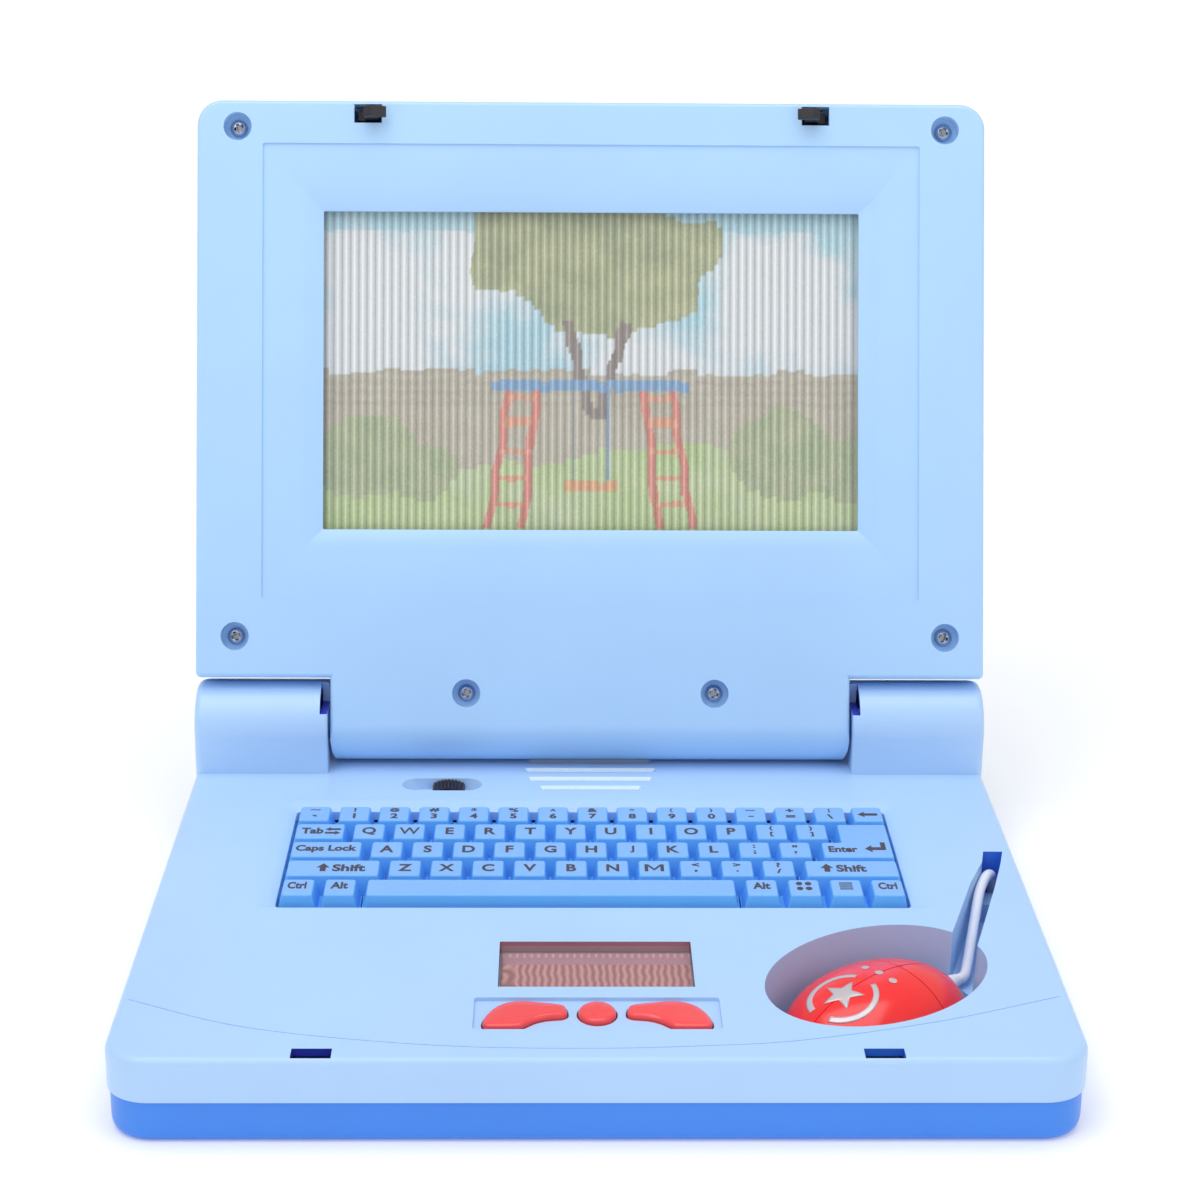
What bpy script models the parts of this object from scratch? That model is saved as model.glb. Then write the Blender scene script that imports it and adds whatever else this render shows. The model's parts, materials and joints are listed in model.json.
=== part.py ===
# Toy laptop computer: base with keys, trackpad, buttons, switch, speaker and a corded toy mouse,
# and a lid with a lens screen, hinged between two humps at the back of the base.
# All sizes below are in millimetres; the scene is in metres, +Z up.
# The origin is the centre of the base's flat underside. +X is the user's right, -Y faces the user.
import math

import bmesh
import bpy
from mathutils import Matrix, Vector

for stale in list(bpy.data.objects):
    bpy.data.objects.remove(stale, do_unlink=True)

# ------------------------------------------------------------------ driving dimensions (mm)
MM = 0.001
GAP = 0.3                      # clearance between neighbouring pieces
WIDTH = 250.0                  # base width
DEPTH = 210.6                  # base depth
HALF_W = WIDTH / 2
FRONT_Y = -106.0               # base's front plane in the part's frame
DECK_Z = 24.0                  # deck height
SEAM_Z = 11.6                  # top of the bottom shell
WALL = 2.2                     # shell wall
CORNER_R = 12.0                # plan corners of the base, front
REAR_R = 4.0                   # plan corners of the base, rear

HINGE_Y = 196.8                # lid axis, measured from the base's front plane
HINGE_Z = 36.0
BARREL_R = 11.6                # hinge barrel of the lid
HUMP_R = 13.8                  # hump rounding about the axis
HUMP_X = 83.0                  # inner face of each hump
BARREL_X = 82.3                # end of the barrel
TRUNNION_R = 5.0               # hollow stub that the lid turns on
LID_LEAN = math.radians(19.2)  # lid leans back from vertical
LID_NOTCH = 14.6               # lid's lower edge from the axis
LID_LEN = 182.6                # lower edge to top edge
LID_T = 2 * BARREL_R           # lid thickness
LID_HALF_W = 124.8
LID_TOP_R = 8.0
LID_SEAM = -11.3               # back of the bezel, measured from the lid's front plane
PANEL_STEP = 0.6               # the panel around the screen lies this much below the rim

KEY_TOP_Z = 24.2
KEY_PITCH = 12.1
ROW_PITCH = 13.0
KEY_TRAVEL = 1.5
ROW5_FRONT = 94.4              # front edge of the key tops in the front row
KEY_DEPTH = 10.4

WELL_C = (75.2, 46.8)          # mouse well, an ellipse turned by the mouse's angle
WELL_R = (34.4, 25.0)
WELL_FLOOR = 5.0
MOUSE_ANGLE = math.radians(40.7)
MOUSE_A, MOUSE_B = 29.0, 20.6
MOUSE_TOP = 24.0

SCREWS_LID = [(-112.0, 174.2), (112.0, 174.2), (-112.4, 13.1), (112.4, 13.1), (-39.3, -4.8), (39.3, -4.8)]
SCREWS_BASE = [(-115.5, 9.5), (115.5, 9.5), (-112.0, 172.0), (112.0, 172.0)]

S, C = math.sin(LID_LEAN), math.cos(LID_LEAN)
NOTCH_Y = HINGE_Y + LID_NOTCH * S - BARREL_R * C
NOTCH_Z = HINGE_Z + LID_NOTCH * C + BARREL_R * S

# base frame: x, y from the base's front plane, z from the underside
BASE = Matrix.Translation((0, FRONT_Y * MM, 0)) @ Matrix.Scale(MM, 4)
# lid frame: x, t up the lid from its lower edge, h out of the lid's front plane
LID = (Matrix.Translation((0, (NOTCH_Y + FRONT_Y) * MM, NOTCH_Z * MM))
       @ Matrix(((1, 0, 0, 0), (0, S, -C, 0), (0, C, S, 0), (0, 0, 0, 1))) @ Matrix.Scale(MM, 4))
# mouse frame: x along the mouse towards its cord, z from the underside of the base
MOUSE = (BASE @ Matrix.Translation((WELL_C[0], WELL_C[1], 0)) @ Matrix.Rotation(MOUSE_ANGLE, 4, "Z"))

HINGE_POINT = (0.0, (HINGE_Y + FRONT_Y) * MM, HINGE_Z * MM)


# ------------------------------------------------------------------ materials
def material(name, rgb, rough=0.35, metal=0.0, alpha=1.0):
    m = bpy.data.materials.new(name)
    m.use_nodes = True
    b = m.node_tree.nodes["Principled BSDF"]
    b.inputs["Base Color"].default_value = (rgb[0], rgb[1], rgb[2], 1.0)
    b.inputs["Roughness"].default_value = rough
    b.inputs["Metallic"].default_value = metal
    b.inputs["Alpha"].default_value = alpha
    m.diffuse_color = (rgb[0], rgb[1], rgb[2], alpha)
    return m


PALE = material("pale_blue_plastic", (0.50, 0.72, 0.98), 0.33)
LIDBLUE = material("lid_blue_plastic", (0.42, 0.66, 0.97), 0.33)
DEEP = material("deep_blue_plastic", (0.08, 0.27, 0.82), 0.33)
KEYBLUE = material("key_blue_plastic", (0.28, 0.58, 0.96), 0.38)
RED = material("red_plastic", (0.85, 0.06, 0.06), 0.22)
BLACK = material("black_plastic", (0.03, 0.03, 0.035), 0.4)
CLEAR = material("clear_lens", (0.92, 0.95, 0.95), 0.12, 0.0, 0.4)
CARD = material("printed_card", (0.55, 0.62, 0.40), 0.6)
BROWNCARD = material("brown_card", (0.42, 0.20, 0.19), 0.6)
STEEL = material("zinc_steel", (0.62, 0.63, 0.66), 0.35, 1.0)
GREEN = material("circuit_board", (0.05, 0.25, 0.10), 0.5)
RUBBER = material("grey_rubber", (0.25, 0.26, 0.28), 0.8)
WHITE = material("white_cord", (0.80, 0.82, 0.84), 0.5)
CELL = material("battery_sleeve", (0.10, 0.11, 0.13), 0.35, 0.2)


# ------------------------------------------------------------------ shapes: each returns (verts, faces)
def loft(rings):
    """Closed solid through rings of equal point count, ends filled."""
    n = len(rings[0])
    verts = [tuple(p) for ring in rings for p in ring]
    faces = []
    for k in range(len(rings) - 1):
        for i in range(n):
            j = (i + 1) % n
            faces.append((k * n + i, k * n + j, (k + 1) * n + j, (k + 1) * n + i))
    faces.append(tuple(reversed(range(n))))
    faces.append(tuple(range((len(rings) - 1) * n, len(rings) * n)))
    return verts, faces


def prism(points, lo, hi, axis="Z"):
    def place(p, d):
        if axis == "Z":
            return (p[0], p[1], d)
        if axis == "X":
            return (d, p[0], p[1])
        return (p[0], d, p[1])
    return loft([[place(p, lo) for p in points], [place(p, hi) for p in points]])


def box(x0, x1, y0, y1, z0, z1):
    return prism([(x0, y0), (x1, y0), (x1, y1), (x0, y1)], z0, z1)


def rrect(x0, x1, y0, y1, r, seg=5):
    """Rounded rectangle; r is one radius or four (front left, front right, rear right, rear left)."""
    if not isinstance(r, (list, tuple)):
        r = [r] * 4
    corners = [(x0, y0, 1, 1, 180), (x1, y0, -1, 1, 270), (x1, y1, -1, -1, 0), (x0, y1, 1, -1, 90)]
    pts = []
    for (cx, cy, sx, sy, a0), rad in zip(corners, r):
        rad = max(rad, 0.05)
        for k in range(seg + 1):
            a = math.radians(a0 + 90 * k / seg)
            pts.append((cx + sx * rad + rad * math.cos(a), cy + sy * rad + rad * math.sin(a)))
    return pts


def flat(points, z):
    return [(p[0], p[1], z) for p in points]


def circle(cx, cy, rx, ry=None, n=24, start=0.0):
    ry = rx if ry is None else ry
    return [(cx + rx * math.cos(start + 2 * math.pi * k / n), cy + ry * math.sin(start + 2 * math.pi * k / n))
            for k in range(n)]


def well_ellipse(extra, n=40):
    a, b = WELL_R[0] + extra, WELL_R[1] + extra
    ca, sa = math.cos(MOUSE_ANGLE), math.sin(MOUSE_ANGLE)
    return [(WELL_C[0] + x * ca - y * sa, WELL_C[1] + x * sa + y * ca) for x, y in circle(0, 0, a, b, n)]


def cyl_z(cx, cy, r, z0, z1, n=16):
    return prism(circle(cx, cy, r, n=n), z0, z1)


def cyl_x(cy, cz, r, x0, x1, n=24):
    return prism(circle(cy, cz, r, n=n), x0, x1, "X")


def lathe(profile, cx, cy, n=24):
    """Solid of revolution about the vertical through (cx, cy); the profile runs from axis to axis."""
    verts, rows, faces = [], [], []
    for r, z in profile:
        if r < 1e-6:
            verts.append((cx, cy, z))
            rows.append([len(verts) - 1] * n)
        else:
            start = len(verts)
            verts += [(x, y, z) for x, y in circle(cx, cy, r, n=n)]
            rows.append(list(range(start, start + n)))
    for a, b in zip(rows, rows[1:]):
        for i in range(n):
            j = (i + 1) % n
            f = []
            for v in (a[i], a[j], b[j], b[i]):
                if v not in f:
                    f.append(v)
            if len(f) > 2:
                faces.append(tuple(f))
    return verts, faces


def offset(points, d):
    """Moves a counter-clockwise outline outwards by d."""
    out, n = [], len(points)
    for i in range(n):
        p, q, r = Vector(points[i - 1]), Vector(points[i]), Vector(points[(i + 1) % n])
        a, b = (q - p).normalized(), (r - q).normalized()
        na, nb = Vector((a.y, -a.x)), Vector((b.y, -b.x))
        m = (na + nb)
        m = m / max(m.dot(na), 0.5) if m.length > 1e-6 else na
        out.append((q.x + d * m.x, q.y + d * m.y))
    return out


# ------------------------------------------------------------------ objects
def make(name, shapes, mat=None, frame=BASE, origin=(0.0, 0.0, 0.0), smooth=35):
    """One object from shapes in the given frame, with its origin at a world point."""
    bm = bmesh.new()
    shift = Vector(origin)
    for verts, faces in shapes:
        vs = [bm.verts.new(frame @ Vector(v) - shift) for v in verts]
        for f in faces:
            bm.faces.new([vs[i] for i in f])
    bmesh.ops.recalc_face_normals(bm, faces=bm.faces[:])
    me = bpy.data.meshes.new(name)
    bm.to_mesh(me)
    bm.free()
    if mat is not None:
        me.materials.append(mat)
    me.shade_smooth()
    me.set_sharp_from_angle(angle=math.radians(smooth))
    ob = bpy.data.objects.new(name, me)
    ob.location = origin
    bpy.context.scene.collection.objects.link(ob)
    return ob


tool_count = 0


def apply_tool(target, shapes, op="DIFFERENCE", frame=BASE):
    global tool_count
    tool_count += 1
    tool = make("tool_%02d" % tool_count, shapes, None, frame)
    tool.hide_render = True
    tool.display_type = "WIRE"
    mod = target.modifiers.new("step_%02d" % tool_count, "BOOLEAN")
    mod.operation = op
    mod.solver = "EXACT"
    mod.object = tool
    return tool


def axis_empty(name, loc):
    e = bpy.data.objects.new(name, None)
    e.location = loc
    e.empty_display_size = 0.01
    bpy.context.scene.collection.objects.link(e)
    return e


def hang(children, empty):
    for c in children:
        c.parent = empty
        c.matrix_parent_inverse = Matrix.Translation(empty.location).inverted()


def world(x, y, z):
    return tuple(BASE @ Vector((x, y, z)))


# ================================================================== base top shell
def base_outline(inset, extra=0.0):
    return rrect(-HALF_W + inset + extra, HALF_W - inset - extra, inset + extra, DEPTH - inset - extra,
                 [max(CORNER_R - inset - extra, 0.4)] * 2 + [max(REAR_R - inset - extra, 0.4)] * 2, 6)


top_shell = make("base_top_shell", [loft([
    flat(base_outline(0.0), SEAM_Z + GAP), flat(base_outline(0.0), 21.5), flat(base_outline(0.3), 22.7),
    flat(base_outline(0.95), 23.5), flat(base_outline(2.1), DECK_Z)])], PALE)


def hump_profile(r, foot):
    """Hump side view (y, z): upright front, round top about the hinge axis, flat rear facet, upright rear."""
    pts = [(HINGE_Y - r, foot)]
    top = 90 - math.degrees(LID_LEAN)
    for k in range(13):
        a = math.radians(180 + (top - 180) * k / 12)
        pts.append((HINGE_Y + r * math.cos(a), HINGE_Z + r * math.sin(a)))
    pts += [(HINGE_Y + r, HINGE_Z + 0.7107 * r), (HINGE_Y + r, foot)]
    return list(reversed(pts))


def hump(x0, x1, r, foot, edge):
    if edge <= 0:
        return prism(hump_profile(r, foot), x0, x1, "X")
    stations = [(x0, r - edge), (x0 + 0.35 * edge, r - 0.35 * edge), (x0 + edge, r), (x1 - edge, r),
                (x1 - 0.35 * edge, r - 0.35 * edge), (x1, r - edge)]
    return loft([[(x, p[0], p[1]) for p in hump_profile(rr, foot)] for x, rr in stations])


apply_tool(top_shell, [hump(HUMP_X, HALF_W - 0.02, HUMP_R, 22.4, 1.0), hump(-HALF_W + 0.02, -HUMP_X, HUMP_R, 22.4, 1.0)], "UNION")
apply_tool(top_shell, [loft([flat(base_outline(0, WALL), 5.0), flat(base_outline(0, WALL), DECK_Z - WALL)])])
apply_tool(top_shell, [hump(HUMP_X + WALL, HALF_W - WALL - 0.1, HUMP_R - WALL, 21.0, 0),
                       hump(-HALF_W + WALL + 0.1, -HUMP_X - WALL, HUMP_R - WALL, 21.0, 0)])
# pads that thicken the deck under its recesses, and the screw bosses
apply_tool(top_shell, [box(-98, 98, 84.3, 166.3, 18.8, 22.6), box(-28.2, 28.2, 37.2, 67.6, 18.8, 22.6),
                       box(-34, 34, 14.3, 35.2, 20.8, 22.6), box(-62, -31.5, 167.6, 181.6, 18.8, 22.6)]
           + [cyl_z(x, y, 3.2, 6.0, 22.6, 12) for x, y in SCREWS_BASE], "UNION")
# mouse well cup and cord channel
apply_tool(top_shell, [prism(well_ellipse(1.8), 3.4, 22.6)], "UNION")
CHANNEL = [(96.0, 63.0), (104.6, 63.0), (107.2, 72.0), (114.9, 98.5), (119.6, 116.0), (121.6, 124.8),
           (115.9, 124.8), (114.4, 117.3), (109.0, 103.6), (99.2, 72.0)]
CHANNEL_DEEP = [(96.0, 63.0), (104.6, 63.0), (107.2, 72.0), (114.9, 98.5), (118.0, 110.0), (111.5, 110.0), (109.0, 103.6), (99.2, 72.0)]
apply_tool(top_shell, [prism(offset(CHANNEL, 1.5), 12.1, 22.5)], "UNION")
apply_tool(top_shell, [prism(offset(CHANNEL_DEEP, 1.5), 6.6, 13.0)], "UNION")
# keyboard recess: sloping surround and opening
apply_tool(top_shell, [loft([flat(rrect(-90.5, 90.5, 91.8, 158.8, 1.5, 3), 16.0), flat(rrect(-90.5, 90.5, 91.8, 158.8, 1.5, 3), 21.5),
                             flat(rrect(-97.1, 97.1, 85.2, 165.4, 3.5, 3), 24.5)])])
# trackpad recess, button recess, latch slots, speaker slots, switch scoop
apply_tool(top_shell, [box(-26.1, 26.1, 39.2, 65.6, 20.4, 26.0),
                       prism(rrect(-32.1, 32.1, 16.1, 33.2, 0.8, 2), 22.9, 26.0),
                       box(-77.2, -67.0, 1.4, 6.0, 17.0, 26.0), box(67.0, 77.2, 1.4, 6.0, 17.0, 26.0)]
           + [prism(rrect(-w, w, y - 0.8, y + 0.8, 0.79, 2), 20.0, 26.0) for y, w in
              ((172.0, 15.0), (179.1, 18.7), (186.2, 20.0), (193.3, 18.7), (200.4, 14.8))])
SW_C = (-46.6, 174.7)


def stadium(hx, hy, seg=6):
    return rrect(SW_C[0] - hx, SW_C[0] + hx, SW_C[1] - hy, SW_C[1] + hy, hy - 0.01, seg)


apply_tool(top_shell, [loft([flat(stadium(10.4, 4.5), 20.4), flat(stadium(11.4, 4.62), 21.6), flat(stadium(12.6, 4.85), 24.3)])])
apply_tool(top_shell, [box(-52.0, -41.5, 173.4, 176.6, 15.0, 23.0)])
# mouse well, cord channel and the hole that the cord goes down
apply_tool(top_shell, [loft([flat(well_ellipse(-1.0), WELL_FLOOR), flat(well_ellipse(0.1), 26.0)])])
apply_tool(top_shell, [prism(CHANNEL, 13.8, 26.0)])
apply_tool(top_shell, [prism(CHANNEL_DEEP, 8.2, 20.0)])
apply_tool(top_shell, [box(115.6, 121.4, 117.8, 124.5, 4.0, 21.0)])
# trunnion holes and screw holes
apply_tool(top_shell, [cyl_x(HINGE_Y, HINGE_Z, TRUNNION_R + GAP, HUMP_X - 1, HUMP_X + WALL + 1),
                       cyl_x(HINGE_Y, HINGE_Z, TRUNNION_R + GAP, -HUMP_X - WALL - 1, -HUMP_X + 1)]
           + [cyl_z(x, y, 1.6, 5.0, 17.0, 10) for x, y in SCREWS_BASE])

# relief in the front wall beside each latch slot, where the barb hooks under the deck
apply_tool(top_shell, [box(-67.3, -64.2, 1.4, 6.2, 17.0, 21.6), box(64.2, 67.3, 1.4, 6.2, 17.0, 21.6)])

# button outlines (x, y), counter-clockwise
BTN_LEFT = [(-28.6, 17.8), (-20.8, 17.8), (-19.3, 18.7), (-17.0, 21.0), (-15.0, 22.3), (-12.6, 23.1), (-8.1, 23.6),
            (-8.2, 27.0), (-8.8, 29.2), (-14.7, 30.4), (-19.2, 31.2), (-22.0, 30.9), (-24.8, 29.5), (-27.2, 26.6),
            (-28.9, 22.6), (-29.4, 19.4)]
BTN_RIGHT = [(-x, y) for x, y in reversed(BTN_LEFT)]
BTN_MID = circle(0.0, 25.6, 4.6, 5.2, 18)
BUTTONS = (("red_button_left", BTN_LEFT), ("red_button_center", BTN_MID), ("red_button_right", BTN_RIGHT))
apply_tool(top_shell, [prism(offset(o, 0.75), 18.0, 24.0) for _, o in BUTTONS])

# ================================================================== base bottom shell
bottom = make("base_bottom_shell", [loft([
    flat(base_outline(3.2), 0.0), flat(base_outline(1.8), 0.5), flat(base_outline(1.0), 1.5),
    flat(base_outline(0.7), 3.0), flat(base_outline(0.7), SEAM_Z)])], DEEP)
apply_tool(bottom, [loft([flat(base_outline(0.7, WALL), 2.2), flat(base_outline(0.7, WALL), 14.0)])])
apply_tool(bottom, [box(-115.5, -50.5, 17.5, 70.5, 0.5, 19.2)]
           + [cyl_z(x, y, 4.6, 0.5, 5.7, 12) for x, y in SCREWS_BASE]
           + [cyl_z(x, y, 2.5, 1.5, 10.2, 8) for x, y in ((-80, 99), (80, 99), (-80, 151), (80, 151), (-36, 25), (36, 25))], "UNION")
apply_tool(bottom, [box(-52.0, -44.0, 39.0, 49.0, 1.0, 4.2)], "UNION")
apply_tool(bottom, [box(-114.0, -52.0, 19.0, 69.0, -1.0, 17.7)]
           + [cyl_z(x, y, 3.1, -1.0, 2.6, 12) for x, y in SCREWS_BASE])
apply_tool(bottom, [box(-53.0, -45.7, 40.7, 47.3, -1.0, 2.0)] + [cyl_z(x, y, 1.6, 0.0, 7.0, 10) for x, y in SCREWS_BASE])
apply_tool(bottom, [cyl_z(-48.9, 44.0, 1.3, 1.0, 6.0, 10)])

for (x, y), tag in zip(SCREWS_BASE, ("front_left", "front_right", "rear_left", "rear_right")):
    make("base_screw_" + tag, [lathe([(0, 0.7), (2.2, 0.7), (2.7, 1.2), (2.7, 2.3), (1.2, 2.3), (1.2, 13.5), (0, 14.5)], x, y, 12)], STEEL)

# ================================================================== battery compartment
DOOR_ORIGIN = world(-83.0, 44.0, 0.95)
door = make("battery_door", [box(-113.7, -52.3, 19.3, 68.7, 0.2, 1.7)], DEEP, origin=DOOR_ORIGIN)
apply_tool(door, [box(-54.0, -46.0, 41.0, 47.0, 0.2, 1.7)], "UNION")
apply_tool(door, [cyl_z(-48.9, 44.0, 1.3, -1.0, 3.0, 12)])
apply_tool(door, [cyl_z(-48.9, 44.0, 2.35, -1.0, 1.0, 12)])
door_screw = make("battery_door_screw", [lathe([(0, 0.25), (2.05, 0.25), (2.05, 0.75), (0.95, 0.75), (0.95, 5.0), (0, 5.4)], -48.9, 44.0, 10)],
                  STEEL, origin=DOOR_ORIGIN)
for k, y in enumerate((28.0, 44.0, 60.0)):
    zc = 9.7
    prof = [(-107.5, 0.0), (-107.5, 4.0), (-107.3, 6.4), (-106.8, 7.1), (-59.6, 7.1), (-59.0, 6.4), (-59.0, 2.8), (-57.8, 2.8), (-57.8, 0.0)]
    if k == 1:
        prof = [(-166.8 - x, r) for x, r in reversed(prof)]
    v, f = lathe([(r, x) for x, r in prof], 0, 0, 16)
    make("battery_%d" % (k + 1), [([(p[2], p[0] + y, p[1] + zc) for p in v], f)], CELL, origin=world(-83, y, zc))


def coil(x0, x1, r0, r1, y, z, turns=3, seg=6, wire=0.45, sides=4):
    """Conical contact spring along X."""
    rings = []
    n = turns * seg
    for k in range(n + 1):
        a, q = 2 * math.pi * k / seg, k / n
        r, x = r0 + (r1 - r0) * q, x0 + (x1 - x0) * q
        out, along = Vector((0, math.cos(a), math.sin(a))), Vector((1, 0, 0))
        ctr = Vector((x, y, z)) + out * r
        rings.append([tuple(ctr + wire * (math.cos(b) * out + math.sin(b) * along))
                      for b in (2 * math.pi * i / sides for i in range(sides))])
    return loft(rings)


left_contact = make("battery_contact_left", [box(-113.6, -113.0, 20.0, 68.0, 3.0, 16.5)], STEEL)
apply_tool(left_contact, [coil(-113.2, -108.3, 4.6, 2.6, 28.0, 9.7), coil(-113.2, -108.3, 4.6, 2.6, 60.0, 9.7)], "UNION")
right_contact = make("battery_contact_right", [box(-53.0, -52.4, 20.0, 68.0, 3.0, 16.5)], STEEL)
apply_tool(right_contact, [coil(-52.8, -57.4, 4.6, 2.6, 44.0, 9.7)], "UNION")

# ================================================================== electronics in the base
board = make("main_circuit_board", [box(-86, 86, 94.5, 156, 10.5, 12.1)], GREEN)
apply_tool(board, [box(-60, -44, 126, 138, 8.3, 10.7), box(30, 54, 118, 130, 8.6, 10.7)], "UNION")
mat_ = make("rubber_key_mat", [box(-86, 86, 94.5, 156, 12.4, 13.6)], RUBBER)
apply_tool(mat_, [box(-84, 84, ROW5_FRONT + ROW_PITCH * k + 2.4, ROW5_FRONT + ROW_PITCH * k + 8.0, 13.4, 15.2)
                  for k in range(5)], "UNION")
make("button_contact_mat", [box(-38, 38, 14.8, 34.8, 10.5, 13.0)], RUBBER)
SPK = (0.0, 186.2)
make("speaker_basket", [lathe([(0, 8.0), (12.0, 8.0), (12.5, 12.5), (17.6, 19.8), (19.6, 19.8), (19.6, 21.2), (17.6, 21.2), (12.0, 13.8), (0, 13.8)],
                              SPK[0], SPK[1], 24)], STEEL)
make("speaker_cone", [lathe([(0, 14.4), (5.0, 14.4), (15.6, 19.9), (15.6, 20.7), (14.8, 20.7), (5.0, 15.4), (0, 16.4)], SPK[0], SPK[1], 20)], BLACK)
make("power_switch_body", [box(-54.5, -38.5, 170.2, 179.2, 9.0, 15.8)], BLACK)

# wires from the board up through the hollow right-hand trunnion into the lid
def tube(name, pts, r, mat, res=2, closed_sides=None):
    cu = bpy.data.curves.new(name, "CURVE")
    cu.dimensions = "3D"
    cu.bevel_depth = r * MM
    cu.bevel_resolution = res
    cu.resolution_u = 1
    cu.render_resolution_u = 0
    cu.use_fill_caps = True
    sp = cu.splines.new("POLY")
    sp.points.add(len(pts) - 1)
    for p, q in zip(sp.points, pts):
        p.co = (*world(*q), 1.0)
    cu.materials.append(mat)
    ob = bpy.data.objects.new(name, cu)
    bpy.context.scene.collection.objects.link(ob)
    return ob


def smooth_path(ctrl, step):
    """Points about every step mm along a smooth Catmull-Rom curve through the control points."""
    P = [Vector(p) for p in ctrl]
    P = [2 * P[0] - P[1]] + P + [2 * P[-1] - P[-2]]
    fine = []
    for i in range(1, len(P) - 2):
        a, b, c, d = P[i - 1:i + 3]
        for k in range(40):
            t = k / 40
            fine.append(0.5 * ((2 * b) + (c - a) * t + (2 * a - 5 * b + 4 * c - d) * t * t + (3 * b - a - 3 * c + d) * t ** 3))
    fine.append(P[-2])
    total = sum((q - p).length for p, q in zip(fine, fine[1:]))
    n = max(2, round(total / step))
    out, want, run = [fine[0]], total / n, 0.0
    for p, q in zip(fine, fine[1:]):
        d = (q - p).length
        while d > 0 and run + d >= want * len(out) and len(out) < n:
            out.append(p.lerp(q, (want * len(out) - run) / d))
        run += d
    out.append(fine[-1])
    return [tuple(p) for p in out]


tube("lid_wire_loom", smooth_path([(88, 158, 12.5), (94, 168, 11.5), (101, 180, 15), (104, 190, 24), (101, 195.6, 32.5),
                                   (95, HINGE_Y, HINGE_Z), (86, HINGE_Y, HINGE_Z), (76, HINGE_Y, HINGE_Z)], 5.0), 1.2, BLACK)

# ================================================================== trackpad
make("trackpad_picture_card", [box(-25.7, 25.7, 39.6, 65.2, 20.7, 21.2)], BROWNCARD)
make("trackpad_lens", [box(-25.8, 25.8, 39.5, 65.3, 21.5, 22.9)], CLEAR)

# ================================================================== red buttons (pressed down 1.2 mm)
for name, outline in BUTTONS:
    cx = sum(p[0] for p in outline) / len(outline)
    cy = sum(p[1] for p in outline) / len(outline)
    make(name, [loft([flat(offset(outline, 1.5), 19.2), flat(offset(outline, 1.5), 20.4), flat(offset(outline, 0.4), 20.42),
                      flat(offset(outline, 0.35), 23.6), flat(offset(outline, 0.1), 24.1), flat(offset(outline, -0.4), 24.3)])],
         RED, origin=world(cx, cy, 24.3))

# ================================================================== power switch knob (slides along X)
KNOB_X = -44.55
knob_profile = [(KNOB_X - 5.05, 20.7), (KNOB_X + 5.05, 20.7), (KNOB_X + 5.05, 21.9), (KNOB_X + 4.3, 22.9), (KNOB_X + 2.6, 23.6),
                (KNOB_X, 23.9), (KNOB_X - 2.6, 23.6), (KNOB_X - 4.3, 22.9), (KNOB_X - 5.05, 21.9)]
knob = make("power_switch_knob", [prism(knob_profile, 171.2, 178.4, "Y")], BLACK, origin=world(KNOB_X, 174.8, 20.7))
apply_tool(knob, [box(KNOB_X - 1.5, KNOB_X + 1.5, 173.9, 176.1, 16.1, 21.2)], "UNION")


# ================================================================== keys
def row_front(row):
    return ROW5_FRONT + ROW_PITCH * (5 - row)


def key_shape(x0, x1, y0, y1, foot=18.2):
    """Tapered key cap; x0..x1 and y0..y1 are its top face."""
    def ring(d, e, z):
        return [(x0 - d, y0 - e, z), (x1 + d, y0 - e, z), (x1 + d, y1 + e, z), (x0 - d, y1 + e, z)]
    return loft([ring(1.25, 0.95, foot), ring(0.0, 0.0, KEY_TOP_Z)])


def key_piece(name, tops, row, web=None):
    """Caps given by the x-ranges of their tops, standing on one web; the web is wider than the opening."""
    y0 = row_front(row)
    y1 = y0 + KEY_DEPTH
    x_lo, x_hi = tops[0][0] - 1.6, tops[-1][1] + 1.6
    if web:
        x_lo, x_hi = web
    body = make(name, [box(x_lo, x_hi, y0 - 1.1, y1 + 1.1, 17.0, 18.4)], KEYBLUE,
                origin=world((x_lo + x_hi) / 2, (y0 + y1) / 2, KEY_TOP_Z))
    apply_tool(body, [key_shape(a, b, y0, y1) for a, b in tops], "UNION")
    return body


def run_of(x0, n, w=8.95, pitch=KEY_PITCH):
    return [(x0 + pitch * k, x0 + pitch * k + w) for k in range(n)]


NUM_X, QW_X, AS_X, ZX_X = -88.8, -71.4, -65.3, -59.2
key_piece("key_strip_numbers", run_of(NUM_X, 14), 1, (-92.5, NUM_X + 13 * KEY_PITCH + 8.95 + 1.3))
key_piece("key_backspace", [(80.1, 88.9)], 1, (78.9, 92.5))
key_piece("key_tab", [(-88.8, -74.5)], 2, (-92.5, -73.15))
key_piece("key_strip_qwerty", run_of(QW_X, 12), 2, (QW_X - 1.4, QW_X + 11 * KEY_PITCH + 8.95 + 1.35))
key_piece("key_caps_lock", [(-88.8, -68.5)], 3, (-92.5, -67.05))
key_piece("key_strip_asdf", run_of(AS_X, 11), 3, (AS_X - 1.4, AS_X + 10 * KEY_PITCH + 8.95 + 1.3))
key_piece("key_shift_left", [(-88.8, -62.3)], 4, (-92.5, -60.95))
key_piece("key_strip_zxcv", run_of(ZX_X, 10), 4, (ZX_X - 1.4, ZX_X + 9 * KEY_PITCH + 8.95 + 1.35))
key_piece("key_shift_right", [(62.2, 88.9)], 4, (60.7, 92.5))
key_piece("key_pair_lower_left", [(-88.9, -80.2), (-76.9, -68.3)], 5, (-92.5, -66.75))
key_piece("key_space", [(-64.8, 40.5)], 5, (-66.4, 42.1))
key_piece("key_group_lower_right", [(44.0, 52.7), (56.2, 64.9), (68.3, 77.0), (80.2, 88.9)], 5, (42.5, 92.5))
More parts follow.
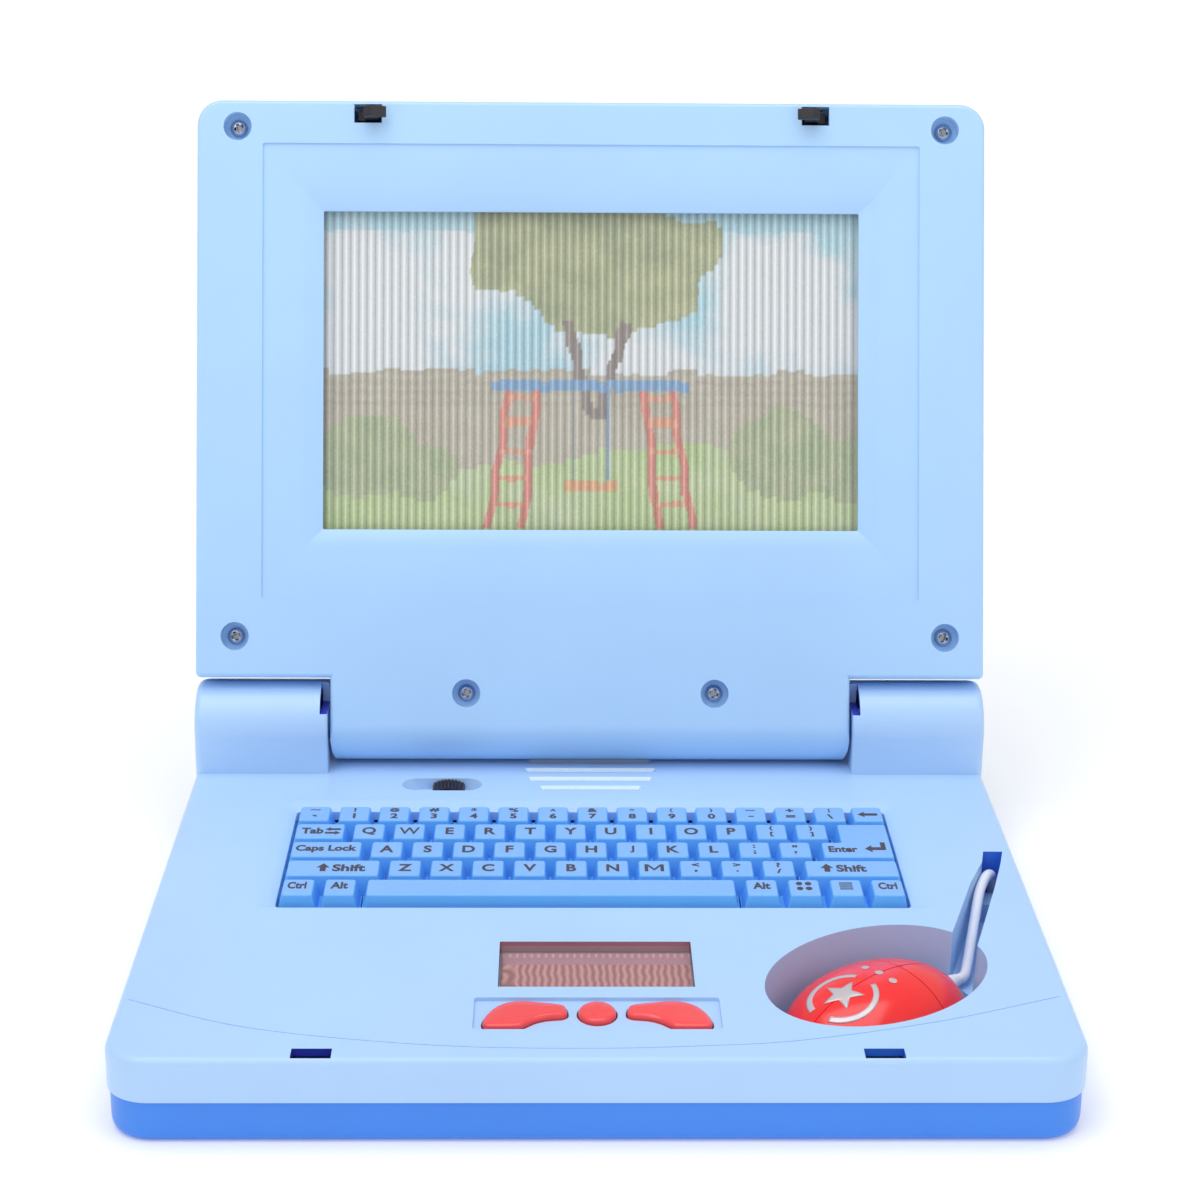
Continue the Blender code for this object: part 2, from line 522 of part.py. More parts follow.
# Enter stands across rows 2 and 3, wider in row 3
y2, y3 = row_front(2), row_front(3)
enter = make("key_enter", [box(66.9, 92.5, y3 - 1.1, y3 + KEY_DEPTH + 1.1, 17.0, 18.4)], KEYBLUE, origin=world(80, y2, KEY_TOP_Z))
apply_tool(enter, [box(72.9, 92.5, y3 + KEY_DEPTH, y2 + KEY_DEPTH + 1.1, 17.0, 18.4)], "UNION")
apply_tool(enter, [key_shape(68.4, 88.9, y3, y3 + KEY_DEPTH)], "UNION")
apply_tool(enter, [key_shape(74.4, 88.9, y3 + 0.02, y2 + KEY_DEPTH)], "UNION")

# ================================================================== mouse
MOUSE_ORIGIN = tuple(MOUSE @ Vector((0, 0, 5.3)))
MZ = 9.6                       # height of the widest line
MH = MOUSE_TOP - MZ


def mouse_ring(shrink, el, z_base=MZ):
    """Outline of the mouse at an elevation angle of its dome."""
    a, b, h = MOUSE_A - shrink, MOUSE_B - shrink, MH - shrink
    ce, se = math.cos(el), math.sin(el)
    return [(a * ce * math.cos(u), b * ce * math.sin(u), z_base + h * se)
            for u in (2 * math.pi * k / 28 for k in range(28))]


def dome(shrink, z0, start):
    rings = [[(p[0], p[1], z0) for p in mouse_ring(shrink, start)]]
    for k in range(0, 7):
        rings.append(mouse_ring(shrink, start + (math.radians(84) - start) * k / 6))
    return loft(rings)


CROSS_X = 8.3
for nm in ("mouse_top_shell", "mouse_button_left", "mouse_button_right"):
    ob = make(nm, [dome(0.0, MZ + 0.4, 0.04)], RED, MOUSE, MOUSE_ORIGIN)
    apply_tool(ob, [dome(1.6, MZ - 1.0, 0.0)], "DIFFERENCE", MOUSE)
    if nm == "mouse_top_shell":
        apply_tool(ob, [box(CROSS_X, 40, -40, 40, 12.2, 30)], "DIFFERENCE", MOUSE)

    else:
        side = 1 if nm.endswith("left") else -1
        lo, hi = sorted((0.2 * side, 40 * side))
        apply_tool(ob, [box(CROSS_X + 0.35, 40, lo, hi, 13.2, 30)], "INTERSECT", MOUSE)
mouse_bottom = make("mouse_bottom_shell", [loft([[(p[0] * q, p[1] * q, z) for p in mouse_ring(0.0, 0.0)]
                                                  for q, z in ((0.90, 5.3), (0.955, 6.2), (0.995, 8.0), (1.0, MZ + 0.1))])],
                    RED, MOUSE, MOUSE_ORIGIN)
apply_tool(mouse_bottom, [loft([[(p[0] * q, p[1] * q, z) for p in mouse_ring(1.8, 0.0)] for q, z in ((0.93, 7.0), (1.0, 12.0))])],
           "DIFFERENCE", MOUSE)
make("mouse_contact_board", [box(-14, 18, -9, 9, 7.4, 8.8)], GREEN, MOUSE, MOUSE_ORIGIN)
# strain relief: a tapered sleeve on the nose, in line with the cord channel
RELIEF = [(29.2, 2.2), (30.2, 2.2), (33.2, 1.8)]
relief_v, relief_f = lathe([(0, RELIEF[0][0])] + [(r, x) for x, r in RELIEF] + [(0, RELIEF[-1][0])], 0, 0, 12)
RELIEF_Z = 10.8
make("mouse_strain_relief", [([(p[2], p[0], p[1] + RELIEF_Z) for p in relief_v], relief_f)], WHITE, MOUSE, MOUSE_ORIGIN)
nose = MOUSE @ Vector((RELIEF[-1][0] + 0.3, 0, RELIEF_Z))
nose_b = (nose.x / MM, nose.y / MM - FRONT_Y, nose.z / MM)
ux, uy = math.cos(MOUSE_ANGLE), math.sin(MOUSE_ANGLE)
CORD_R = 1.5
tube("mouse_cord", smooth_path([nose_b, (nose_b[0] + 3.0 * ux, nose_b[1] + 3.0 * uy, nose_b[2] + 0.3), (104.5, 76.0, 12.6), (106.4, 83.4, 14.6),
                                (109.2, 94.6, 17.0), (112.3, 107.0, 19.2), (115.2, 114.8, 20.2), (117.5, 119.3, 19.0), (118.5, 121.2, 15.0),
                                (118.5, 121.2, 9.0), (118.5, 121.2, 4.6)], 3.4), CORD_R, WHITE)

mouse_axis = axis_empty("mouse_lift_axis", MOUSE_ORIGIN)
hang([bpy.data.objects[n] for n in ("mouse_top_shell", "mouse_button_left", "mouse_button_right", "mouse_bottom_shell",
                                    "mouse_contact_board", "mouse_strain_relief")], mouse_axis)


# ================================================================== lid
def lid_outline(inset):
    """Lid seen from the front: plate with rounded top corners, and the middle run down to the barrel."""
    w, m, low = LID_HALF_W - inset, BARREL_X - inset, -LID_NOTCH - BARREL_R - 1.0
    r = LID_TOP_R - inset
    pts = [(-m, low), (m, low), (m, inset), (w - 1.2, inset), (w, inset + 1.2)]
    for k in range(7):
        a = math.radians(90 * k / 6)
        pts.append((w - r + r * math.cos(a), LID_LEN - inset - r + r * math.sin(a)))
    for k in range(7):
        a = math.radians(90 + 90 * k / 6)
        pts.append((-w + r + r * math.cos(a), LID_LEN - inset - r + r * math.sin(a)))
    pts += [(-w, inset + 1.2), (-w + 1.2, inset), (-m, inset)]
    return pts


def barrel_cutter(front):
    """Everything outside the barrel's round, in front (front=True) or behind."""
    s = 1 if front else -1
    pts = [(-LID_NOTCH + 0.7, -BARREL_R + s * (BARREL_R + 0.3))]
    for k in range(1, 13):
        a = math.radians(90 * k / 12)
        pts.append((-LID_NOTCH - BARREL_R * math.sin(a), -BARREL_R + s * BARREL_R * math.cos(a)))
    pts += [(-LID_NOTCH - BARREL_R, -BARREL_R - s * 2), (-LID_NOTCH - 30, -BARREL_R - s * 2), (-LID_NOTCH - 30, -BARREL_R + s * 20), (-LID_NOTCH + 0.7, -BARREL_R + s * 20)]
    return prism(pts, -100, 100, "X")


def barrel_hollow(front):
    s = 1 if front else -1
    r = BARREL_R - WALL
    pts = [(4.0, -BARREL_R + s * r)]
    for k in range(0, 9):
        a = math.radians(90 * k / 8)
        pts.append((-LID_NOTCH - r * math.sin(a), -BARREL_R + s * r * math.cos(a)))
    pts += [(-LID_NOTCH - r, -BARREL_R - s * 3), (4.0, -BARREL_R - s * 3)]
    return prism(pts, -BARREL_X + WALL, BARREL_X - WALL, "X")


bezel = make("lid_front_bezel", [loft([flat(lid_outline(0.0), LID_SEAM), flat(lid_outline(0.0), -1.0), flat(lid_outline(0.3), -0.3), flat(lid_outline(0.9), 0.0)])],
             LIDBLUE, LID, HINGE_POINT)
apply_tool(bezel, [barrel_cutter(True)], frame=LID)
IN_W = LID_HALF_W - WALL
apply_tool(bezel, [prism(rrect(-IN_W, IN_W, WALL, LID_LEN - WALL, [1, 1, LID_TOP_R - WALL, LID_TOP_R - WALL], 5), LID_SEAM - 3, -WALL)], frame=LID)
apply_tool(bezel, [barrel_hollow(True)], frame=LID)
# rim behind the screen window, and the screw bosses
apply_tool(bezel, [box(-93.5, 93.5, 38.8, 156.2, -4.3, -1.5)] + [cyl_z(x, t, 6.2, -7.6, -1.4, 12) for x, t in SCREWS_LID], "UNION", LID)
# shallow panel, bevelled window, screw recesses, latch openings, trunnion clearance
apply_tool(bezel, [prism(rrect(-104, 104, 24.7, 169, 0.8, 2), -PANEL_STEP, 2.0)], frame=LID)
apply_tool(bezel, [loft([flat(rrect(-85, 85, 47, 148, 0.5, 1), -8.0), flat(rrect(-85, 85, 47, 148, 0.5, 1), -3.1),
                         flat(rrect(-92.5, 92.5, 39.8, 155.2, 0.5, 1), -PANEL_STEP + 0.5)])], frame=LID)
apply_tool(bezel, [cyl_z(x, t, 4.45, -5.0, 2.0, 14) for x, t in SCREWS_LID]
           + [box(-75.2, -66.5, 175.5, 181.4, -8.0, 2.0), box(66.5, 75.2, 175.5, 181.4, -8.0, 2.0)], frame=LID)
apply_tool(bezel, [cyl_z(x, t, 1.7, -9.0, -4.0, 10) for x, t in SCREWS_LID]
           + [cyl_x(-LID_NOTCH, -BARREL_R, TRUNNION_R + GAP, BARREL_X - 4, BARREL_X + 2),
              cyl_x(-LID_NOTCH, -BARREL_R, TRUNNION_R + GAP, -BARREL_X - 2, -BARREL_X + 4)], frame=LID)

COVER_TOP = LID_SEAM - GAP
cover = make("lid_rear_cover", [loft([flat(lid_outline(3.0), -LID_T), flat(lid_outline(1.5), -LID_T + 0.45), flat(lid_outline(0.4), -LID_T + 1.6),
                                      flat(lid_outline(0.0), -LID_T + 3.2), flat(lid_outline(0.0), COVER_TOP)])], LIDBLUE, LID, HINGE_POINT)
apply_tool(cover, [barrel_cutter(False)], frame=LID)
apply_tool(cover, [prism(rrect(-IN_W, IN_W, WALL, LID_LEN - WALL, [1, 1, LID_TOP_R - WALL, LID_TOP_R - WALL], 5), -LID_T + WALL, COVER_TOP + 3)], frame=LID)
apply_tool(cover, [barrel_hollow(False)], frame=LID)
apply_tool(cover, [cyl_z(x, t, 3.4, -LID_T + 1.5, -7.9, 12) for x, t in SCREWS_LID]
           + [cyl_z(x, t, 2.2, -LID_T + 1.5, -16.2, 8) for x, t in ((-56, 66), (56, 66), (-56, 126), (56, 126))], "UNION", LID)
apply_tool(cover, [cyl_x(-LID_NOTCH, -BARREL_R, TRUNNION_R, BARREL_X - 3.2, 87.0),
                   cyl_x(-LID_NOTCH, -BARREL_R, TRUNNION_R, -87.0, -BARREL_X + 3.2)], "UNION", LID)
apply_tool(cover, [cyl_z(x, t, 1.6, -17.5, -7.0, 10) for x, t in SCREWS_LID]
           + [cyl_x(-LID_NOTCH, -BARREL_R, 3.2, BARREL_X - 5, 90.0, 16), cyl_x(-LID_NOTCH, -BARREL_R, 3.2, -90.0, -BARREL_X + 5, 16)], frame=LID)

lens = make("screen_lens", [box(-87.5, 87.5, 44.5, 150.5, -6.2, -4.6)], CLEAR, LID, HINGE_POINT)
card = make("screen_picture_card", [box(-86.8, 86.8, 45.2, 149.8, -7.1, -6.5)], CARD, LID, HINGE_POINT)
light = make("screen_light_board", [box(-60, 60, 62, 130, -15.9, -14.5)], GREEN, LID, HINGE_POINT)
apply_tool(light, [box(x - 2.5, x + 2.5, t - 2.5, t + 2.5, -14.8, -12.6) for x in (-36, 0, 36) for t in (80, 112)], "UNION", LID)
lid_pieces = [bezel, cover, lens, card, light]
for (x, t), tag in zip(SCREWS_LID, ("top_left", "top_right", "mid_left", "mid_right", "barrel_left", "barrel_right")):
    lid_pieces.append(make("lid_screw_" + tag, [lathe([(0, -3.1), (1.6, -3.1), (2.5, -3.6), (2.7, -4.2), (2.7, -4.7), (1.3, -4.7), (1.3, -15.5), (0, -16.6)], x, t, 10)],
                           STEEL, LID, HINGE_POINT))
# latch hooks: wedge-topped barbs on a foot that stays behind the bezel; they slide outwards 2.5 mm
for tag, s in (("left", 1), ("right", -1)):
    prof = [(-74.4, -6.6), (-63.4, -6.6), (-63.4, -3.4), (-67.4, -3.4), (-67.4, 3.0), (-64.9, 3.0), (-64.9, 3.7), (-69.4, 6.0), (-71.9, 4.2), (-71.9, -3.4), (-74.4, -3.4)]
    pts = [(x * s, h) for x, h in prof]
    if s < 0:
        pts.reverse()
    hook = make("latch_hook_" + tag, [prism(pts, 176.6, 180.1, "Y")], BLACK, LID, tuple(LID @ Vector((-69.4 * s, 178.4, 0))))
    lid_pieces.append(hook)
lid_axis = axis_empty("lid_hinge_axis", HINGE_POINT)
hang(lid_pieces, lid_axis)
hang([door, door_screw], axis_empty("battery_door_axis", DOOR_ORIGIN))
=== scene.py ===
# Looks of the toy laptop computer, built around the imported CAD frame.
# Sizes in the shape code are millimetres, turned into metres by the BASE, LID and MOUSE frames.
import json
import math
import random

import bmesh
import bpy
from mathutils import Matrix, Vector, noise

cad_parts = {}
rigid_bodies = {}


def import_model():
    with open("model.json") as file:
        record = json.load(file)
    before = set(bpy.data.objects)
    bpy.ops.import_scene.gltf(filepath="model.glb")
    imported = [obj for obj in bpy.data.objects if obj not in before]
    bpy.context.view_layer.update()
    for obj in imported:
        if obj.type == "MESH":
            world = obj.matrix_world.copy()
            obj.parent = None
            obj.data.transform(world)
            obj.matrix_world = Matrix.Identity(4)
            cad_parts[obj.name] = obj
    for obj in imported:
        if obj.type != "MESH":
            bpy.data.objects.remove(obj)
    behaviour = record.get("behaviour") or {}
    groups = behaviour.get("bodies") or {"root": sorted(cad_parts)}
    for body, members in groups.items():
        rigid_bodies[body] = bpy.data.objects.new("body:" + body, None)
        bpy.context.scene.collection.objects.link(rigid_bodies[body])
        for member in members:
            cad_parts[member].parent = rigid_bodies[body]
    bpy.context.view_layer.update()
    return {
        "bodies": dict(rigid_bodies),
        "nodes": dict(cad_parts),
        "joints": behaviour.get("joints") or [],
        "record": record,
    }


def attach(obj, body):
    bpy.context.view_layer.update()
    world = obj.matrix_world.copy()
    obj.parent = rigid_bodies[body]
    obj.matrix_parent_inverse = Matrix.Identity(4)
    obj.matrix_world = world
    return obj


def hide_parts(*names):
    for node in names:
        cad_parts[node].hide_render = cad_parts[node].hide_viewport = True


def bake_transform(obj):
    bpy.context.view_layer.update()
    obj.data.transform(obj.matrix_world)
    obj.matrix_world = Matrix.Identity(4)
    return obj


for stale in list(bpy.data.objects):
    bpy.data.objects.remove(stale, do_unlink=True)

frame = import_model()
NODES = frame["nodes"]
scene = bpy.context.scene

# ------------------------------------------------------------------ driving dimensions (mm)
MM = 0.001
GAP = 0.3                      # clearance between neighbouring pieces
WIDTH = 250.0                  # base width
DEPTH = 210.6                  # base depth
HALF_W = WIDTH / 2
FRONT_Y = -106.0               # base's front plane in the part's frame
DECK_Z = 24.0                  # deck height
SEAM_Z = 11.6                  # top of the bottom shell
WALL = 2.2                     # shell wall
CORNER_R = 12.0                # plan corners of the base, front
REAR_R = 4.0                   # plan corners of the base, rear

HINGE_Y = 196.8                # lid axis, measured from the base's front plane
HINGE_Z = 36.0
BARREL_R = 11.6                # hinge barrel of the lid
HUMP_R = 13.8                  # hump rounding about the axis
HUMP_X = 83.0                  # inner face of each hump
BARREL_X = 82.3                # end of the barrel
TRUNNION_R = 5.0               # hollow stub that the lid turns on
LID_LEAN = math.radians(19.2)  # lid leans back from vertical
LID_NOTCH = 14.6               # lid's lower edge from the axis
LID_LEN = 182.6                # lower edge to top edge
LID_T = 2 * BARREL_R           # lid thickness
LID_HALF_W = 124.8
LID_TOP_R = 8.0
LID_SEAM = -11.3               # back of the bezel, measured from the lid's front plane
PANEL_STEP = 0.6               # the panel around the screen lies this much below the rim

KEY_TOP_Z = 24.2
KEY_PITCH = 12.1
ROW_PITCH = 13.0
KEY_TRAVEL = 1.5
ROW5_FRONT = 94.4              # front edge of the key tops in the front row
KEY_DEPTH = 10.4

WELL_C = (75.2, 46.8)          # mouse well, an ellipse turned by the mouse's angle
WELL_R = (34.4, 25.0)
WELL_FLOOR = 5.0
MOUSE_ANGLE = math.radians(40.7)
MOUSE_A, MOUSE_B = 29.0, 20.6
MOUSE_TOP = 24.0

SCREWS_LID = [(-112.0, 174.2), (112.0, 174.2), (-112.4, 13.1), (112.4, 13.1), (-39.3, -4.8), (39.3, -4.8)]
SCREWS_BASE = [(-115.5, 9.5), (115.5, 9.5), (-112.0, 172.0), (112.0, 172.0)]

S, C = math.sin(LID_LEAN), math.cos(LID_LEAN)
NOTCH_Y = HINGE_Y + LID_NOTCH * S - BARREL_R * C
NOTCH_Z = HINGE_Z + LID_NOTCH * C + BARREL_R * S

# base frame: x, y from the base's front plane, z from the underside
BASE = Matrix.Translation((0, FRONT_Y * MM, 0)) @ Matrix.Scale(MM, 4)
# lid frame: x, t up the lid from its lower edge, h out of the lid's front plane
LID = (Matrix.Translation((0, (NOTCH_Y + FRONT_Y) * MM, NOTCH_Z * MM))
       @ Matrix(((1, 0, 0, 0), (0, S, -C, 0), (0, C, S, 0), (0, 0, 0, 1))) @ Matrix.Scale(MM, 4))
# mouse frame: x along the mouse towards its cord, z from the underside of the base
MOUSE = (BASE @ Matrix.Translation((WELL_C[0], WELL_C[1], 0)) @ Matrix.Rotation(MOUSE_ANGLE, 4, "Z"))

HINGE_POINT = (0.0, (HINGE_Y + FRONT_Y) * MM, HINGE_Z * MM)
RELIEF_Z = 10.8


# ------------------------------------------------------------------ materials
def lin(rgb):
    """sRGB 0..255 to linear."""
    out = []
    for c in rgb:
        c = c / 255.0
        out.append(c / 12.92 if c <= 0.04045 else ((c + 0.055) / 1.055) ** 2.4)
    return tuple(out)


def node(nt, kind, **kw):
    n = nt.nodes.new(kind)
    for k, v in kw.items():
        setattr(n, k, v)
    return n


def moulded(name, rgb, rough=0.34, var=0.035, grain=0.05, grain_scale=900.0, sss=0.0, coat=0.0, smudge=0.05, spec=0.5, sss_rgb=(1.0, 1.0, 1.0)):
    """Injection-moulded plastic: faint cloudy tone, fine surface grain, and handling marks in its gloss."""
    m = bpy.data.materials.new(name)
    m.use_nodes = True
    nt = m.node_tree
    b = nt.nodes["Principled BSDF"]
    base = lin(rgb)
    tc = node(nt, "ShaderNodeTexCoord")
    cloud = node(nt, "ShaderNodeTexNoise")
    cloud.inputs["Scale"].default_value = 22.0
    cloud.inputs["Detail"].default_value = 3.0
    nt.links.new(tc.outputs["Object"], cloud.inputs["Vector"])
    ramp = node(nt, "ShaderNodeValToRGB")
    ramp.color_ramp.elements[0].position = 0.3
    ramp.color_ramp.elements[1].position = 0.7
    ramp.color_ramp.elements[0].color = (*[max(c * (1 - var), 0) for c in base], 1)
    ramp.color_ramp.elements[1].color = (*[min(c * (1 + var), 1) for c in base], 1)
    nt.links.new(cloud.outputs["Fac"], ramp.inputs["Fac"])
    nt.links.new(ramp.outputs["Color"], b.inputs["Base Color"])
    marks = node(nt, "ShaderNodeTexNoise")
    marks.inputs["Scale"].default_value = 75.0
    marks.inputs["Detail"].default_value = 5.0
    marks.inputs["Roughness"].default_value = 0.65
    nt.links.new(tc.outputs["Object"], marks.inputs["Vector"])
    mr = node(nt, "ShaderNodeMapRange")
    mr.inputs["From Min"].default_value = 0.35
    mr.inputs["From Max"].default_value = 0.75
    mr.inputs["To Min"].default_value = rough - smudge
    mr.inputs["To Max"].default_value = rough + smudge
    nt.links.new(marks.outputs["Fac"], mr.inputs["Value"])
    nt.links.new(mr.outputs["Result"], b.inputs["Roughness"])
    fine = node(nt, "ShaderNodeTexNoise")
    fine.inputs["Scale"].default_value = grain_scale
    fine.inputs["Detail"].default_value = 2.0
    nt.links.new(tc.outputs["Object"], fine.inputs["Vector"])
    bump = node(nt, "ShaderNodeBump")
    bump.inputs["Strength"].default_value = grain
    bump.inputs["Distance"].default_value = 0.0003
    nt.links.new(fine.outputs["Fac"], bump.inputs["Height"])
    nt.links.new(bump.outputs["Normal"], b.inputs["Normal"])
    b.inputs["Specular IOR Level"].default_value = spec
    if sss:
        b.inputs["Subsurface Weight"].default_value = sss
        b.inputs["Subsurface Radius"].default_value = sss_rgb
        b.inputs["Subsurface Scale"].default_value = 0.002
    if coat:
        b.inputs["Coat Weight"].default_value = coat
        b.inputs["Coat Roughness"].default_value = 0.12
    m.diffuse_color = (*base, 1)
    return m


def metal(name, rgb, rough=0.3, scale=700.0):
    m = moulded(name, rgb, rough, 0.10, 0.12, scale, smudge=0.12)
    m.node_tree.nodes["Principled BSDF"].inputs["Metallic"].default_value = 1.0
    return m


def painted(name, rough=0.6, attr="picture", spec=0.3):
    """Printed card whose colours are held per vertex."""
    m = bpy.data.materials.new(name)
    m.use_nodes = True
    nt = m.node_tree
    b = nt.nodes["Principled BSDF"]
    a = node(nt, "ShaderNodeAttribute", attribute_name=attr)
    tc = node(nt, "ShaderNodeTexCoord")
    dots = node(nt, "ShaderNodeTexNoise")
    dots.inputs["Scale"].default_value = 1400.0
    nt.links.new(tc.outputs["Object"], dots.inputs["Vector"])
    mix = node(nt, "ShaderNodeMixRGB", blend_type="OVERLAY")
    mix.inputs["Fac"].default_value = 0.25
    nt.links.new(a.outputs["Color"], mix.inputs["Color1"])
    nt.links.new(dots.outputs["Fac"], mix.inputs["Color2"])
    nt.links.new(mix.outputs["Color"], b.inputs["Base Color"])
    b.inputs["Roughness"].default_value = rough
    b.inputs["Specular IOR Level"].default_value = spec
    return m


def clear(name, rgb, rough, alpha):
    m = moulded(name, rgb, rough, 0.02, 0.02, 500.0, smudge=0.02)
    b = m.node_tree.nodes["Principled BSDF"]
    b.inputs["Alpha"].default_value = alpha
    m.blend_method = "BLEND"
    return m


M_DECK = moulded("pale_blue_plastic", (178, 213, 253), 0.33, 0.02, 0.035, sss=0.0)
M_LID = moulded("lid_blue_plastic", (176, 215, 254), 0.36, 0.02, 0.045)
M_DEEP = moulded("deep_blue_plastic", (62, 138, 240), 0.36, 0.03, 0.05)
M_KEY = moulded("key_blue_plastic", (106, 184, 253), 0.40, 0.03, 0.07, 1300.0)
# painted sheen: a lighter copy of the key plastic for the key tops, where they catch the light
M_KEYTOP_SHEEN = moulded("key_top_painted_sheen", (136, 186, 246), 0.36, 0.03, 0.09, 1300.0)
# painted bounce light: a bluer copy of the deck plastic for the walls of the mouse well
M_WELL_BOUNCE = moulded("well_painted_bounce_light", (176, 211, 255), 0.38, 0.02, 0.04)
# painted shade: a deep blue for the inside of the left latch slot and the hump pockets, a lighter one for the right
# latch slot and the cord hole
M_SHADE_DEEP = moulded("painted_shade_deep", (50, 66, 190), 0.42, 0.04, 0.05)
M_SHADE_SOFT = moulded("painted_shade_soft", (58, 124, 232), 0.42, 0.04, 0.05)
# painted highlight: a paler copy of the deck plastic for the front-facing edges of the speaker slots
M_EDGE_HIGHLIGHT = moulded("speaker_edge_painted_highlight", (214, 236, 254), 0.30, 0.02, 0.03)
# painted shade and painted reflection: a mauve tone for the trackpad recess walls, for the shade there and the brown
# pad's reflected colour
M_TRAY_SHADE = moulded("recess_wall_painted_shade_and_reflection", (168, 118, 134), 0.34, 0.10, 0.08, 900.0)
M_RED = moulded("red_plastic", (250, 34, 38), 0.20, 0.03, 0.03, smudge=0.04, coat=0.3)
M_REDKEY = moulded("red_button_plastic", (250, 72, 76), 0.24, 0.03, 0.04, smudge=0.04, coat=0.3)
M_BLACK = moulded("black_plastic", (40, 38, 44), 0.42, 0.12, 0.12, 1400.0)
M_KNOB = moulded("knob_black_plastic", (44, 34, 42), 0.46, 0.15, 0.2, 1500.0)
M_STEEL = metal("zinc_steel", (176, 182, 196), 0.30)
M_BOARD = moulded("circuit_board", (22, 98, 52), 0.42, 0.12, 0.1, 600.0)
M_RUBBER = moulded("grey_rubber", (118, 120, 126), 0.8, 0.08, 0.2, 900.0)
M_CORD = moulded("white_cord", (236, 238, 248), 0.45, 0.03, 0.06, 900.0)
M_CELL = moulded("battery_sleeve", (48, 50, 58), 0.35, 0.1, 0.05, 600.0)
M_LEGEND = moulded("legend_ink", (74, 60, 72), 0.55, 0.10, 0.1, 1500.0)
M_SILVER = moulded("silver_print", (206, 196, 200), 0.36, 0.10, 0.1, 1200.0, smudge=0.1)
M_SILVER.node_tree.nodes["Principled BSDF"].inputs["Metallic"].default_value = 0.35
M_CARD = painted("printed_card", 0.55)
M_BROWN = painted("brown_card", 0.45)
M_LENS = clear("clear_lens", (236, 240, 244), 0.10, 0.05)
M_PAD = clear("pad_lens", (240, 232, 232), 0.08, 0.06)
SLOT_MAT = {"pale_blue_plastic": M_DECK, "lid_blue_plastic": M_LID, "deep_blue_plastic": M_DEEP, "key_blue_plastic": M_KEY,
            "red_plastic": M_RED, "black_plastic": M_BLACK, "clear_lens": M_LENS, "zinc_steel": M_STEEL, "circuit_board": M_BOARD,
            "grey_rubber": M_RUBBER, "white_cord": M_CORD, "battery_sleeve": M_CELL, "printed_card": M_CELL, "brown_card": M_CELL}

# ------------------------------------------------------------------ shapes: each returns (verts, faces)
def loft(rings):
    """Closed solid through rings of equal point count, ends filled."""
    n = len(rings[0])
    verts = [tuple(p) for ring in rings for p in ring]
    faces = []
    for k in range(len(rings) - 1):
        for i in range(n):
            j = (i + 1) % n
            faces.append((k * n + i, k * n + j, (k + 1) * n + j, (k + 1) * n + i))
    faces.append(tuple(reversed(range(n))))
    faces.append(tuple(range((len(rings) - 1) * n, len(rings) * n)))
    return verts, faces


def prism(points, lo, hi, axis="Z"):
    def place(p, d):
        if axis == "Z":
            return (p[0], p[1], d)
        if axis == "X":
            return (d, p[0], p[1])
        return (p[0], d, p[1])
    return loft([[place(p, lo) for p in points], [place(p, hi) for p in points]])


def box(x0, x1, y0, y1, z0, z1):
    return prism([(x0, y0), (x1, y0), (x1, y1), (x0, y1)], z0, z1)


def rrect(x0, x1, y0, y1, r, seg=5):
    """Rounded rectangle; r is one radius or four (front left, front right, rear right, rear left)."""
    if not isinstance(r, (list, tuple)):
        r = [r] * 4
    corners = [(x0, y0, 1, 1, 180), (x1, y0, -1, 1, 270), (x1, y1, -1, -1, 0), (x0, y1, 1, -1, 90)]
    pts = []
    for (cx, cy, sx, sy, a0), rad in zip(corners, r):
        rad = max(rad, 0.05)
        for k in range(seg + 1):
            a = math.radians(a0 + 90 * k / seg)
            pts.append((cx + sx * rad + rad * math.cos(a), cy + sy * rad + rad * math.sin(a)))
    return pts


def flat(points, z):
    return [(p[0], p[1], z) for p in points]


def circle(cx, cy, rx, ry=None, n=24, start=0.0):
    ry = rx if ry is None else ry
    return [(cx + rx * math.cos(start + 2 * math.pi * k / n), cy + ry * math.sin(start + 2 * math.pi * k / n))
            for k in range(n)]


def well_ellipse(extra, n=40):
    a, b = WELL_R[0] + extra, WELL_R[1] + extra
    ca, sa = math.cos(MOUSE_ANGLE), math.sin(MOUSE_ANGLE)
    return [(WELL_C[0] + x * ca - y * sa, WELL_C[1] + x * sa + y * ca) for x, y in circle(0, 0, a, b, n)]


def cyl_z(cx, cy, r, z0, z1, n=16):
    return prism(circle(cx, cy, r, n=n), z0, z1)


def cyl_x(cy, cz, r, x0, x1, n=24):
    return prism(circle(cy, cz, r, n=n), x0, x1, "X")


def lathe(profile, cx, cy, n=24):
    """Solid of revolution about the vertical through (cx, cy); the profile runs from axis to axis."""
    verts, rows, faces = [], [], []
    for r, z in profile:
        if r < 1e-6:
            verts.append((cx, cy, z))
            rows.append([len(verts) - 1] * n)
        else:
            start = len(verts)
            verts += [(x, y, z) for x, y in circle(cx, cy, r, n=n)]
            rows.append(list(range(start, start + n)))
    for a, b in zip(rows, rows[1:]):
        for i in range(n):
            j = (i + 1) % n
            f = []
            for v in (a[i], a[j], b[j], b[i]):
                if v not in f:
                    f.append(v)
            if len(f) > 2:
                faces.append(tuple(f))
    return verts, faces


def offset(points, d):
    """Moves a counter-clockwise outline outwards by d."""
    out, n = [], len(points)
    for i in range(n):
        p, q, r = Vector(points[i - 1]), Vector(points[i]), Vector(points[(i + 1) % n])
        a, b = (q - p).normalized(), (r - q).normalized()
        na, nb = Vector((a.y, -a.x)), Vector((b.y, -b.x))
        m = (na + nb)
        m = m / max(m.dot(na), 0.5) if m.length > 1e-6 else na
        out.append((q.x + d * m.x, q.y + d * m.y))
    return out



# ------------------------------------------------------------------ pieces
TOOLS = []


